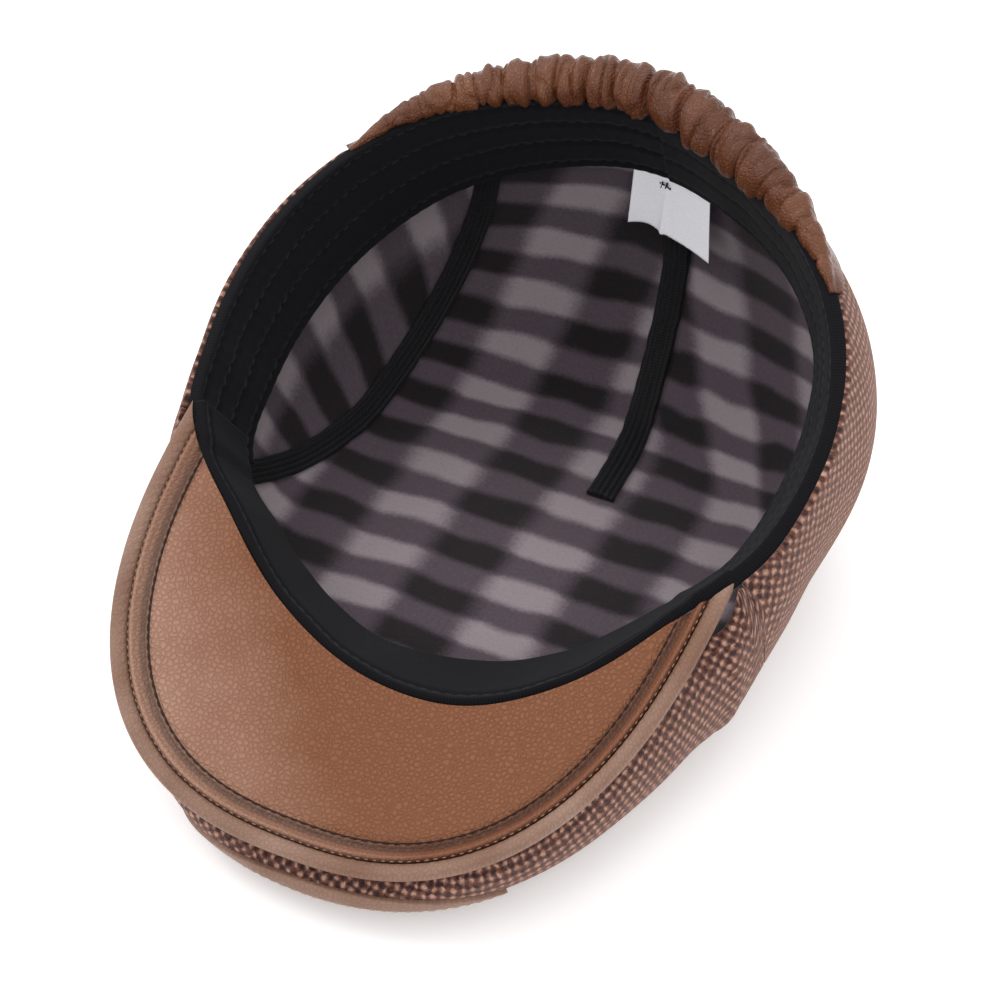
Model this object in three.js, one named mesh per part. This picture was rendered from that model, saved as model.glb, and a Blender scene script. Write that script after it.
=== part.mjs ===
// A duckbill cap lying on its crown with the opening up.
// Millimetres, +Z up, the bill towards -Y, the origin on the surface that the crown rests on.
import * as THREE from "three";
import { mergeVertices } from "three/addons/utils/BufferGeometryUtils.js";

// How the cap lies: the rim's plane tips down towards the bill
const LIE_TILT_DEG = 22;
const RIM_HEIGHT = 74;

// Rim: an ellipse that is a little longer at the front than at the back
const RIM_HALF_WIDTH = 89.9;
const RIM_FRONT = 93.45;
const RIM_BACK = 91.0;

// Bill: its outline is a rounded square curve about BILL_ROOT_Y
const BILL_HALF_WIDTH = 83;
const BILL_SHIFT_X = -1;
const BILL_ROOT_Y = -38;
const BILL_REACH = 112;
const BILL_SQUARENESS = 2.5;
const BILL_CORNER_DEG = 66;
const BILL_ARCH = 8;
const BILL_SLOPE_DEG = 12;
const BILL_THICKNESS = 3;
const BORDER_WIDTH = 6;
const BORDER_GROOVE = 0.9;
const BINDING_WIDTH = 4.8;
const BINDING_THICKNESS = 4;

// Cloth and leather walls, and the gap kept between neighbours
const TWEED = 2;
const LINING = 1.2;
const TAPE = 1.3;
const BAND_THICKNESS = 1.6;
const STRIP_THICKNESS = 1.2;
const LABEL_THICKNESS = 0.8;
const GAP = 0.3;
const LINING_EASE = 2.2;
const TAPE_EASE = 1.2;

// Widths of the pieces
const BAND_WIDTH = 32;
const FRONT_BAND_WIDTH = 26;
const BAND_LAP_DEG = 4;
const TAPE_WIDTH = 7.4;
const DART_TAPE_WIDTH = 8.4;
const LABEL_WIDTH = 27;
const LABEL_LENGTH = 18;
const LABEL_LEAN_DEG = 13;
const LABEL_TWIST_DEG = 14;

// Crown: where its meridians meet, and how the cloth flattens on the surface below
const POLE_X = 5;
const POLE_Y = -25;
const POLE_SINK = 12;
const FLATTEN = 6;
const CROWN_UNDER_BILL = 3.5;
const CROWN_BELOW_BILL = 4.9;

// Panel lines, as shares of the way from the rim to the pole
const SEAM_DEPTH = 0.62;
const SEAM_BLUNTNESS = 0.28;
const SEAM_END_DEG = 152;
const PANEL_END_DEG = 151.5;
const SEAM_GAP = 0.005;

// Gathered casing at the back
const ELASTIC_HALF_DEG = 56;
const ELASTIC_DEPTH = 0.18;
const ELASTIC_PUFF = 10;
const ELASTIC_RISE = 10.5;
const ELASTIC_FOLDS = 17;

// Dents of the rim: deg is the angle round from the bill, out a share of the rim's radius
const RIM_DENTS = [
  { deg: -160, out: -0.004 },
  { deg: -135, out: 0.01 },
  { deg: -100, out: -0.01 },
  { deg: -80, out: -0.013 },
  { deg: -64, out: 0.004 },
  { deg: -43, out: -0.056 },
  { deg: -22, out: -0.04 },
  { deg: 0, out: 0.006 },
  { deg: 15, out: 0.027 },
  { deg: 32, out: 0.004 },
  { deg: 52, out: -0.034 },
  { deg: 64, out: -0.01 },
  { deg: 75, out: 0.008 },
  { deg: 120, out: 0.002 },
  { deg: 158, out: -0.022 },
  { deg: 180, out: 0 },
];

// Belly of the crown beyond the rim, as a share of the rim's half width
const CROWN_BELLY = [
  { deg: -160, out: 0.145 },
  { deg: -120, out: 0.1 },
  { deg: -90, out: 0.1 },
  { deg: -60, out: 0.07 },
  { deg: -30, out: -0.02 },
  { deg: 0, out: 0.1 },
  { deg: 30, out: 0.067 },
  { deg: 60, out: 0.11 },
  { deg: 90, out: 0.025 },
  { deg: 120, out: 0.133 },
  { deg: 160, out: 0.155 },
  { deg: 180, out: 0.16 },
];

// Lean of the bands towards the inside, as a share of a right angle
const BAND_LEAN = [
  { deg: -160, lean: 0.08 },
  { deg: -146, lean: 0.13 },
  { deg: -125, lean: 0.21 },
  { deg: -102, lean: 0.22 },
  { deg: -86, lean: 0.19 },
  { deg: -66, lean: 0.15 },
  { deg: -45, lean: 0.19 },
  { deg: -15, lean: 0.32 },
  { deg: 10, lean: 0.5 },
  { deg: 35, lean: 0.43 },
  { deg: 50, lean: 0.35 },
  { deg: 66, lean: 0.31 },
  { deg: 90, lean: 0.28 },
  { deg: 108, lean: 0.21 },
  { deg: 125, lean: 0.11 },
  { deg: 150, lean: 0.03 },
  { deg: 180, lean: 0.03 },
];

// The dart's tape down the back of the lining: share of the way to the pole, and angle
const DART_PATH = [
  { share: 0.23, deg: 176.5 },
  { share: 0.37, deg: 174.5 },
  { share: 0.52, deg: 173.5 },
  { share: 0.67, deg: 172 },
  { share: 0.82, deg: 166.5 },
];

const RAD = Math.PI / 180;
const TILT = LIE_TILT_DEG * RAD;
const point = (x, y, z) => new THREE.Vector3(x, y, z);

// A smooth closed curve through the rows of a table, read at an angle round the rim
function roundTable(rows, column, deg) {
  const n = rows.length;
  const turn = (((deg + 180) % 360) + 360) % 360 - 180;
  let i = rows.findLastIndex((row) => row.deg <= turn);
  if (i < 0) i = n - 1;
  const at = (k) => {
    const row = rows[(k + n) % n];
    return { deg: row.deg + 360 * Math.floor(k / n), value: row[column] };
  };
  const [p0, p1, p2, p3] = [i - 1, i, i + 1, i + 2].map(at);
  const here = turn < p1.deg ? turn + 360 : turn;
  const width = p2.deg - p1.deg;
  const u = (here - p1.deg) / width;
  const m1 = ((p2.value - p0.value) / (p2.deg - p0.deg)) * width;
  const m2 = ((p3.value - p1.value) / (p3.deg - p1.deg)) * width;
  return (
    (2 * u ** 3 - 3 * u ** 2 + 1) * p1.value +
    (u ** 3 - 2 * u ** 2 + u) * m1 +
    (3 * u ** 2 - 2 * u ** 3) * p2.value +
    (u ** 3 - u ** 2) * m2
  );
}

// A smooth open curve through the rows of a table, read at a share of its length
function openTable(rows, column, share) {
  const last = rows.length - 1;
  const place = share * last;
  const i = Math.min(last - 1, Math.floor(place));
  const u = place - i;
  const value = (k) => rows[Math.max(0, Math.min(last, k))][column];
  const m1 = (value(i + 1) - value(i - 1)) / 2;
  const m2 = (value(i + 2) - value(i)) / 2;
  return (
    (2 * u ** 3 - 3 * u ** 2 + 1) * value(i) +
    (u ** 3 - 2 * u ** 2 + u) * m1 +
    (3 * u ** 2 - 2 * u ** 3) * value(i + 1) +
    (u ** 3 - u ** 2) * m2
  );
}

const smoothStep = (x) => {
  const u = Math.max(0, Math.min(1, x));
  return u * u * (3 - 2 * u);
};

// From the cap's own frame, with the rim's plane at z = 0, to where it lies
function lay(x, y, z) {
  return point(
    x,
    y * Math.cos(TILT) - z * Math.sin(TILT),
    y * Math.sin(TILT) + z * Math.cos(TILT) + RIM_HEIGHT
  );
}

// The rim's radius at an angle round from the bill
function rimRadius(deg) {
  const end = Math.cos(deg * RAD) > 0 ? RIM_FRONT : RIM_BACK;
  const round = Math.hypot(Math.sin(deg * RAD) / RIM_HALF_WIDTH, Math.cos(deg * RAD) / end);
  return (1 + roundTable(RIM_DENTS, "out", deg)) / round;
}

// A point off the rim: out is away from the middle, up is out of the opening
function offRim(deg, out, up) {
  const radius = rimRadius(deg) + out;
  return lay(radius * Math.sin(deg * RAD), -radius * Math.cos(deg * RAD), archHeight(deg) + up);
}

// The bill's arch, which the front of the rim follows
function archHeight(deg) {
  const share = Math.min(1, Math.abs(wrap(deg)) / BILL_CORNER_DEG);
  return -BILL_ARCH * Math.cos((Math.PI / 2) * share) ** 2;
}

function wrap(deg) {
  return ((((deg + 180) % 360) + 360) % 360) - 180;
}

// How far the bill's outline lies beyond the rim, found by halving
function billDepth(deg) {
  const inside = (radius) => {
    const across = Math.abs(radius * Math.sin(deg * RAD) - BILL_SHIFT_X) / BILL_HALF_WIDTH;
    const along = Math.max(0, BILL_ROOT_Y + radius * Math.cos(deg * RAD)) / BILL_REACH;
    return across ** BILL_SQUARENESS + along ** BILL_SQUARENESS < 1;
  };
  const start = rimRadius(deg);
  if (Math.abs(wrap(deg)) > 90 || !inside(start)) return 0;
  let near = start;
  let far = start + BILL_REACH;
  for (let i = 0; i < 40; i++) {
    const middle = (near + far) / 2;
    if (inside(middle)) near = middle;
    else far = middle;
  }
  return near - start;
}

// One millimetre across the bill's edge, measured along the line from the middle
function edgeStretch(deg) {
  const step = 0.5;
  const reach = (d) => rimRadius(d) + billDepth(d);
  const slope = (reach(deg + step) - reach(deg - step)) / (2 * step * RAD);
  return Math.min(3, Math.hypot(1, slope / reach(deg)));
}

// A point of the bill's upper face as it lies, at a distance beyond the rim
function billPoint(deg, out, up) {
  return offRim(deg, out, out * Math.tan(BILL_SLOPE_DEG * RAD) + up);
}

// Cloth that would sink below the surface lies flat on it, with a soft bend
function flatten(z) {
  if (z < -FLATTEN) return 0;
  if (z > FLATTEN) return z;
  return (z + FLATTEN) ** 2 / (4 * FLATTEN);
}

// One meridian from a start point, out over the belly and in to the pole
function meridian(start, belly, share) {
  const dx = start.x - POLE_X;
  const dy = start.y - POLE_Y;
  const r0 = Math.hypot(dx, dy);
  const s = 1 - share;
  const weights = [s ** 3, 3 * s * s * share, 3 * s * share * share, share ** 3];
  const fall = 0.38 * start.z;
  const lean = fall * Math.tan(TILT) * Math.max(0, dy / r0);
  const radii = [r0, r0 + 1.6 * belly + lean, 0.94 * r0 + belly, 0];
  const heights = [start.z, start.z - fall, -0.24 * start.z - FLATTEN, -POLE_SINK];
  const sum = (values) => values.reduce((total, v, i) => total + v * weights[i], 0);
  const r = sum(radii) / r0;
  return point(POLE_X + dx * r, POLE_Y + dy * r, flatten(sum(heights)));
}

// The crown starts at the rim, and at the front below the bill's edge
function crownSurface(deg, share) {
  const depth = billDepth(deg);
  const beside = TWEED + GAP;
  const under = smoothStep((depth - BINDING_WIDTH) / (2 * BINDING_WIDTH));
  const out = depth + beside - (beside + CROWN_UNDER_BILL) * under;
  const drop = CROWN_BELOW_BILL * smoothStep(depth / BINDING_WIDTH);
  const start = offRim(deg, out, depth * Math.tan(BILL_SLOPE_DEG * RAD) - drop);
  return meridian(start, roundTable(CROWN_BELLY, "out", deg) * RIM_HALF_WIDTH, share);
}

// The lining starts at the rim all round, so its front wall stands inside the crown
function liningSurface(deg, share) {
  const start = offRim(deg, TWEED + GAP, 0);
  const front = smoothStep((BILL_CORNER_DEG + 8 - Math.abs(wrap(deg))) / 30);
  const belly = roundTable(CROWN_BELLY, "out", deg) * RIM_HALF_WIDTH * (1 - 0.7 * front);
  return meridian(start, belly, share);
}

// The surface's normal, towards the inside of the cap
function inwardNormal(surface, deg, share) {
  const at = Math.min(share, 0.96);
  const round = surface(deg + 0.2, at).sub(surface(deg - 0.2, at));
  const down = surface(deg, at + 0.002).sub(surface(deg, at - 0.002));
  return round.cross(down).normalize();
}

function inset(surface, deg, share, depth) {
  return surface(deg, share).addScaledVector(inwardNormal(surface, deg, share), depth);
}

// The seam between the top panel and a side panel: a crescent from corner to back
function seamShare(deg) {
  const turn = Math.abs(wrap(deg));
  const along = (turn - BILL_CORNER_DEG) / (SEAM_END_DEG - BILL_CORNER_DEG);
  if (along <= 0 || along >= 1) return 0;
  return SEAM_DEPTH * Math.sin(Math.PI * along) ** SEAM_BLUNTNESS;
}

// The lower edge of the gathered casing
function elasticShare(deg) {
  const along = (180 - Math.abs(wrap(deg))) / ELASTIC_HALF_DEG;
  return along < 1 ? ELASTIC_DEPTH * Math.cos((Math.PI / 2) * along) ** 0.8 : 0;
}

// Angles at which the panels are sectioned, shared so that their seams run side by side
function stations(from, to, steps, bunched = false) {
  return Array.from({ length: steps + 1 }, (_, i) => {
    const u = i / steps;
    const share = bunched ? (1 - Math.cos(Math.PI * u)) / 2 : u;
    return from + (to - from) * share;
  });
}
const FRONT_STATIONS = stations(-BILL_CORNER_DEG, BILL_CORNER_DEG, 24);
const RIGHT_STATIONS = stations(BILL_CORNER_DEG, PANEL_END_DEG, 18, true);
const BACK_STATIONS = stations(PANEL_END_DEG, 360 - PANEL_END_DEG, 10);
const LEFT_STATIONS = RIGHT_STATIONS.map((deg) => 360 - deg).reverse();
const ALL_STATIONS = [
  ...FRONT_STATIONS.slice(0, -1),
  ...RIGHT_STATIONS.slice(0, -1),
  ...BACK_STATIONS.slice(0, -1),
  ...LEFT_STATIONS.slice(0, -1),
];

// A closed solid between two faces, each given by a station and a share across it
function sheet(list, rows, face, back, ring = false) {
  const positions = [];
  const index = [];
  const grid = (surface) =>
    list.map((station) =>
      Array.from({ length: rows + 1 }, (_, j) => {
        positions.push(...surface(station, j / rows).toArray());
        return positions.length / 3 - 1;
      })
    );
  const faceGrid = grid(face);
  const backGrid = grid(back);
  const quad = (a, b, c, d) => index.push(a, b, c, a, c, d);
  const columns = ring ? list.length : list.length - 1;
  for (let i = 0; i < columns; i++) {
    const [f0, f1] = [faceGrid[i], faceGrid[(i + 1) % list.length]];
    const [b0, b1] = [backGrid[i], backGrid[(i + 1) % list.length]];
    for (let j = 0; j < rows; j++) {
      quad(f0[j], f1[j], f1[j + 1], f0[j + 1]);
      quad(b0[j], b0[j + 1], b1[j + 1], b1[j]);
    }
    quad(f0[0], b0[0], b1[0], f1[0]);
    quad(f0[rows], f1[rows], b1[rows], b0[rows]);
  }
  if (!ring) {
    const [f0, b0] = [faceGrid[0], backGrid[0]];
    const [f1, b1] = [faceGrid.at(-1), backGrid.at(-1)];
    for (let j = 0; j < rows; j++) {
      quad(f0[j], f0[j + 1], b0[j + 1], b0[j]);
      quad(f1[j], b1[j], b1[j + 1], f1[j + 1]);
    }
  }
  return outwardSolid(positions, index);
}

// Shared corners merged, empty triangles dropped, and the faces turned outwards
function outwardSolid(positions, index) {
  let geometry = new THREE.BufferGeometry();
  geometry.setAttribute("position", new THREE.Float32BufferAttribute(positions, 3));
  geometry.setIndex(index);
  geometry = mergeVertices(geometry, 1e-3);
  const corners = geometry.index.array;
  const kept = [];
  let volume = 0;
  const [a, b, c] = [point(), point(), point()];
  for (let i = 0; i < corners.length; i += 3) {
    const [p, q, r] = corners.slice(i, i + 3);
    if (p === q || q === r || r === p) continue;
    kept.push(p, q, r);
    a.fromBufferAttribute(geometry.attributes.position, p);
    b.fromBufferAttribute(geometry.attributes.position, q);
    c.fromBufferAttribute(geometry.attributes.position, r);
    volume += a.dot(b.cross(c));
  }
  geometry.setIndex(volume < 0 ? kept.reverse() : kept);
  geometry.computeVertexNormals();
  return geometry;
}

function mesh(name, geometry, color, roughness) {
  const material = new THREE.MeshStandardMaterial({ color, roughness, metalness: 0 });
  const made = new THREE.Mesh(geometry, material);
  made.name = name;
  return made;
}

const TWEED_COLOR = "#75564d";
const LEATHER_COLOR = "#90624a";
const BLACK_COLOR = "#1b1b1f";
const LINING_COLOR = "#574d52";
const LABEL_COLOR = "#d2d1d8";

// A panel of cloth between two lines, given as shares of the way from rim to pole
function panel(surface, list, rows, fromShare, toShare, near, far, ring = false) {
  const share = (deg, v) => fromShare(deg) + (toShare(deg) - fromShare(deg)) * (1 - (1 - v) ** 1.3);
  return sheet(
    list,
    rows,
    (deg, v) => inset(surface, deg, share(deg, v), near),
    (deg, v) => inset(surface, deg, share(deg, v), far),
    ring
  );
}

// Crown: the top panel with its front, and a crescent at each side
const sideTop = (deg) => (elasticShare(deg) ? elasticShare(deg) + SEAM_GAP : 0);
const sideBottom = (deg) => Math.max(seamShare(deg), sideTop(deg) + 3 * SEAM_GAP);

function panelTop(deg) {
  const turn = Math.abs(wrap(deg));
  const beside = turn > BILL_CORNER_DEG - 0.01 && turn < PANEL_END_DEG + 0.01;
  return beside ? sideBottom(deg) + SEAM_GAP : sideTop(deg);
}

function crown() {
  const top = panel(crownSurface, ALL_STATIONS, 8, panelTop, () => 1, 0, TWEED, true);
  const inner = (list) => list.slice(1, -1);
  const side = (list) => panel(crownSurface, inner(list), 4, sideTop, sideBottom, 0, TWEED);
  return [
    mesh("crown_top", top, TWEED_COLOR, 0.95),
    mesh("crown_side_left", side(LEFT_STATIONS), TWEED_COLOR, 0.95),
    mesh("crown_side_right", side(RIGHT_STATIONS), TWEED_COLOR, 0.95),
  ];
}

// Lining: it shows one seam, on the left
const LINING_TOP = 0.2;
const LINING_NEAR = TWEED + LINING_EASE;
const LINING_FAR = LINING_NEAR + LINING;
const onLeft = (deg) => wrap(deg) < 0;

function liningTop(deg) {
  const seam = onLeft(deg) ? seamShare(deg) : 0;
  return Math.max(LINING_TOP, seam ? seam + SEAM_GAP : 0);
}

function lining() {
  const top = panel(liningSurface, ALL_STATIONS, 10, liningTop, () => 1, LINING_NEAR, LINING_FAR, true);
  const list = LEFT_STATIONS.filter((deg) => seamShare(deg) > LINING_TOP + 6 * SEAM_GAP);
  const bottom = (deg) => seamShare(deg) - SEAM_GAP;
  const side = panel(liningSurface, list, 4, () => LINING_TOP, bottom, LINING_NEAR, LINING_FAR);
  return [
    mesh("lining_top", top, LINING_COLOR, 1),
    mesh("lining_side_left", side, LINING_COLOR, 1),
  ];
}

// A tape lies on the lining along a path of angle and share, a little domed
function tape(path, steps, width) {
  const list = stations(0, 1, steps);
  const place = (u, v, height) => {
    const here = path(u);
    const step = 0.01;
    const ahead = path(Math.min(1, u + step));
    const behind = path(Math.max(0, u - step));
    const along = liningSurface(ahead.deg, ahead.share)
      .sub(liningSurface(behind.deg, behind.share))
      .normalize();
    const normal = inwardNormal(liningSurface, here.deg, here.share);
    const across = normal.clone().cross(along);
    return inset(liningSurface, here.deg, here.share, LINING_FAR + TAPE_EASE + height)
      .addScaledVector(across, width * (v - 0.5));
  };
  const dome = (v) => TAPE * (0.7 + 0.3 * Math.sin(Math.PI * v));
  return sheet(
    list,
    2,
    (u, v) => place(u, v, dome(v)),
    (u, v) => place(u, v, 0)
  );
}

function tapes() {
  const seamPath = (u) => {
    const deg = -(BILL_CORNER_DEG + 10 + (PANEL_END_DEG - BILL_CORNER_DEG - 10) * u);
    return { deg, share: seamShare(deg) };
  };
  const dartPath = (u) => ({
    deg: openTable(DART_PATH, "deg", u),
    share: openTable(DART_PATH, "share", u),
  });
  return [
    mesh("seam_tape_left", tape(seamPath, 20, TAPE_WIDTH), BLACK_COLOR, 0.9),
    mesh("seam_tape_dart", tape(dartPath, 16, DART_TAPE_WIDTH), BLACK_COLOR, 0.9),
  ];
}

// The bands hang from the rim and lean inwards
function bandPoint(deg, depth, inwards) {
  const lean = roundTable(BAND_LEAN, "lean", deg) * (Math.PI / 2);
  const out = -depth * Math.sin(lean) - inwards * Math.cos(lean);
  const up = -depth * Math.cos(lean) + inwards * Math.sin(lean);
  return offRim(deg, out, up);
}

function band(list, width, near) {
  return sheet(
    list,
    3,
    (deg, v) => bandPoint(deg, width * v, near(deg)),
    (deg, v) => bandPoint(deg, width * v, near(deg) + BAND_THICKNESS)
  );
}

function bands() {
  const sideEnd = BILL_CORNER_DEG - BAND_LAP_DEG;
  const step = (deg) => smoothStep((Math.abs(deg) - sideEnd) / BAND_LAP_DEG + 1.6);
  const side = band(stations(sideEnd, 360 - sideEnd, 44), BAND_WIDTH, () => 0);
  const front = band(
    stations(-BILL_CORNER_DEG, BILL_CORNER_DEG, 32),
    FRONT_BAND_WIDTH,
    (deg) => (BAND_THICKNESS + GAP) * step(deg)
  );
  return [
    mesh("sweatband", side, BLACK_COLOR, 0.85),
    mesh("front_band", front, BLACK_COLOR, 0.85),
  ];
}

// Angle at which a line inside the bill's edge runs into the rim, found by halving
function cornerAngle(side, insideEdge, spare) {
  let near = 0;
  let far = BILL_CORNER_DEG + 6;
  for (let i = 0; i < 30; i++) {
    const middle = (near + far) / 2;
    const deg = side * middle;
    if (billDepth(deg) - insideEdge * edgeStretch(deg) > spare) near = middle;
    else far = middle;
  }
  return side * near;
}

// A strip of the bill between two distances inside its edge, with a profile up and down
function billStrip(outer, inner, steps, rows, above, below) {
  const list = stations(cornerAngle(-1, outer, 1.5), cornerAngle(1, outer, 1.5), steps, true);
  const root = GAP;
  const out = (deg, v) => {
    const depth = billDepth(deg);
    const stretch = edgeStretch(deg);
    const from = Math.max(root, depth - inner * stretch);
    const to = Math.max(from + 0.6, depth - outer * stretch);
    return from + (to - from) * v;
  };
  return sheet(
    list,
    rows,
    (deg, v) => billPoint(deg, out(deg, v), above(v)),
    (deg, v) => billPoint(deg, out(deg, v), -below(v))
  );
}

function bill() {
  const borderInside = BINDING_WIDTH + BORDER_WIDTH;
  const groove = (v) => 0.3 - BORDER_GROOVE * Math.sin(Math.PI * Math.min(1, v * 1.25)) ** 2;
  const round = (v) => Math.sqrt(Math.max(0, 1 - (2 * v - 1) ** 2));
  const rise = (v) => (BINDING_THICKNESS / 2) * (0.2 + 0.8 * round(v)) - BILL_THICKNESS / 2;
  const fall = (v) => (BINDING_THICKNESS / 2) * (0.2 + 0.8 * round(v)) + BILL_THICKNESS / 2;
  const plate = billStrip(borderInside + 2 * GAP, BILL_REACH, 28, 4, () => 0, () => BILL_THICKNESS);
  const border = billStrip(
    BINDING_WIDTH + 2 * GAP, borderInside, 34, 4, groove, () => BILL_THICKNESS
  );
  const binding = billStrip(0, BINDING_WIDTH, 34, 4, rise, fall);
  return [
    mesh("bill_underside", plate, LEATHER_COLOR, 0.5),
    mesh("bill_border", border, LEATHER_COLOR, 0.45),
    mesh("bill_binding", binding, LEATHER_COLOR, 0.5),
  ];
}

// The leather strip laid over the crown's front edge, below the bill
const STRIP_MIDDLE_DEG = 4;
const STRIP_HALF_DEG = 19;
const STRIP_FROM = 0.15;
const STRIP_WIDE = 0.17;
const STRIP_SAG = 0.17;

function frontStrip() {
  const list = stations(STRIP_MIDDLE_DEG - STRIP_HALF_DEG, STRIP_MIDDLE_DEG + STRIP_HALF_DEG, 22);
  const share = (deg, v) => {
    const along = (deg - STRIP_MIDDLE_DEG) / STRIP_HALF_DEG;
    return STRIP_FROM + STRIP_SAG * along ** 2 + STRIP_WIDE * (1 - 0.6 * along ** 2) * v;
  };
  const face = (deg, v) => inset(crownSurface, deg, share(deg, v), -GAP - STRIP_THICKNESS);
  const back = (deg, v) => inset(crownSurface, deg, share(deg, v), -GAP);
  return [mesh("front_strip", sheet(list, 3, face, back), LEATHER_COLOR, 0.5)];
}

// The casing puffs out over the back of the rim in gathers that narrow to its ends
function gather(deg) {
  const along = (deg - 180) / ELASTIC_HALF_DEG;
  const phase = ELASTIC_FOLDS * (0.5 * along + 0.06 * Math.sin(Math.PI * along));
  const uneven = 0.18 * Math.sin(7 * along + 1) + 0.12 * Math.sin(17 * along);
  return Math.abs(Math.cos(Math.PI * (phase + uneven))) ** 0.8;
}

function elastic() {
  const half = ELASTIC_HALF_DEG - 1;
  const list = stations(180 - half, 180 + half, 5 * ELASTIC_FOLDS);
  const share = (deg, v) => elasticShare(deg) * v ** 1.6;
  const plump = (deg) => Math.max(0.1, Math.cos((Math.PI / 2) * ((deg - 180) / ELASTIC_HALF_DEG)) ** 0.8);
  const face = (deg, v) => {
    const swell = Math.sin(Math.PI * Math.min(1, 0.04 + v)) ** 0.6;
    const fold = 0.55 + 0.45 * gather(deg);
    const out = ELASTIC_PUFF * plump(deg) * swell * fold;
    const up = ELASTIC_RISE * plump(deg) * Math.sin(Math.PI * Math.min(1, 1.6 * v)) * fold;
    const lift = lay(0, 0, up).sub(lay(0, 0, 0));
    return inset(crownSurface, deg, share(deg, v), -out).add(lift);
  };
  const back = (deg, v) => inset(crownSurface, deg, share(deg, v), TWEED);
  return [mesh("elastic_back", sheet(list, 4, face, back), LEATHER_COLOR, 0.4)];
}

// The care label hangs from the lower edge of the band at the back, with one fold in it
function label() {
  const leftDeg = 182;
  const wide = LABEL_WIDTH / RIM_BACK / RAD;
  const place = (u, v, behind) => {
    const top = bandPoint(leftDeg - wide * u, BAND_WIDTH + GAP, BAND_THICKNESS / 2);
    const loose = Math.max(0, u - 0.4);
    const lean = (LABEL_LEAN_DEG + LABEL_TWIST_DEG * loose) * RAD;
    const fall = LABEL_LENGTH * v * (1 + 0.25 * loose);
    const crease = 0.9 * Math.sin(Math.PI * Math.min(1, u / 0.4)) * v;
    return top.add(point(3 * loose * v, behind + crease - fall * Math.sin(lean), -fall * Math.cos(lean)));
  };
  const face = (u, v) => place(u, v, 0);
  const back = (u, v) => place(u, v, LABEL_THICKNESS);
  return [mesh("care_label", sheet(stations(0, 1, 10), 3, face, back), LABEL_COLOR, 0.8)];
}

const cap = new THREE.Group();
cap.name = "duckbill_cap";
cap.add(...crown(), ...lining(), ...tapes(), ...bands(), ...bill(), ...frontStrip());
cap.add(...elastic(), ...label());

export default cap;
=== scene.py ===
# %% [markdown]
# # A duckbill cap lying on its crown
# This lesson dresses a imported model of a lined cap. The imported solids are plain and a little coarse,
# so each one is replaced by a finer piece that follows the same rules of shape: one function gives
# the rim, one the bill's outline, one the curve of the crown. Cloth and leather then get materials
# built from nodes, and Geometry Nodes sew the stitches.

import math

import bmesh
import bpy
import numpy as np
from mathutils import Matrix, Vector


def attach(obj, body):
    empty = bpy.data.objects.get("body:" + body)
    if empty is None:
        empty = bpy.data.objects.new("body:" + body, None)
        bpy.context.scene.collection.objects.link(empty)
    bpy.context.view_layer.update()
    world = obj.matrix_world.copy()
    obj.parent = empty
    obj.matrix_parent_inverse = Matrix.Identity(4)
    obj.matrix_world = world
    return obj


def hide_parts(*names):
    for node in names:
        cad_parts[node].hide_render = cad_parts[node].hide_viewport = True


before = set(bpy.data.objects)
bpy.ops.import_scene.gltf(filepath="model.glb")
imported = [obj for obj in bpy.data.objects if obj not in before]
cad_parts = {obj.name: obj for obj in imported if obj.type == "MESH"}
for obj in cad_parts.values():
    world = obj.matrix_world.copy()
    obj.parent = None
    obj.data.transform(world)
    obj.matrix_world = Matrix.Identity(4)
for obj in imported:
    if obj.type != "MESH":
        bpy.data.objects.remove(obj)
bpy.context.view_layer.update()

# %% [markdown]
# ## Camera
# A product photograph of a small object is taken with a long lens from a short way up. The camera
# stands about 0.85 m from the cap, 44 degrees above the table and 27 degrees round to its right.
# The focal length is worked out from the size of the cap in the picture, so nothing is shifted.

# %% Camera
PICTURE_SIDE = 1000
FOCAL_PIXELS = 3207.6
SENSOR_MM = 36
CAMERA_AZIMUTH = math.radians(27.02)
CAMERA_ELEVATION = math.radians(44.33)
CAMERA_ROLL = math.radians(-1.44)
CAMERA_DISTANCE = 0.85
CAMERA_TARGET = Vector((0.01862, -0.04612, 0.074))

back = Vector((
    math.sin(CAMERA_AZIMUTH) * math.cos(CAMERA_ELEVATION),
    -math.cos(CAMERA_AZIMUTH) * math.cos(CAMERA_ELEVATION),
    math.sin(CAMERA_ELEVATION),
))
level = Vector((math.cos(CAMERA_AZIMUTH), math.sin(CAMERA_AZIMUTH), 0))
rise = back.cross(level)
right = math.cos(CAMERA_ROLL) * level + math.sin(CAMERA_ROLL) * rise
up = -math.sin(CAMERA_ROLL) * level + math.cos(CAMERA_ROLL) * rise

camera = bpy.data.objects.new("camera", bpy.data.cameras.new("camera"))
camera.data.sensor_width = SENSOR_MM
camera.data.lens = FOCAL_PIXELS / PICTURE_SIDE * SENSOR_MM
camera.matrix_world = Matrix.Translation(CAMERA_TARGET + back * CAMERA_DISTANCE) @ Matrix(
    (right, up, back)
).transposed().to_4x4()
bpy.context.scene.collection.objects.link(camera)
bpy.context.scene.camera = camera
print("lens, mm:", round(camera.data.lens, 1))

# %% [markdown]
# ## Nodes and colours
# Every material below is written with one small helper, which adds a node, sets its settings and
# makes its links. Colours are the hex values that a screen shows, so they are turned to the linear
# values that the renderer works in.

# %% Helpers for materials
def linear(hex_colour):
    values = [int(hex_colour[i:i + 2], 16) / 255 for i in (1, 3, 5)]
    bent = [v / 12.92 if v <= 0.04045 else ((v + 0.055) / 1.055) ** 2.4 for v in values]
    return (*bent, 1.0)


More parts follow.
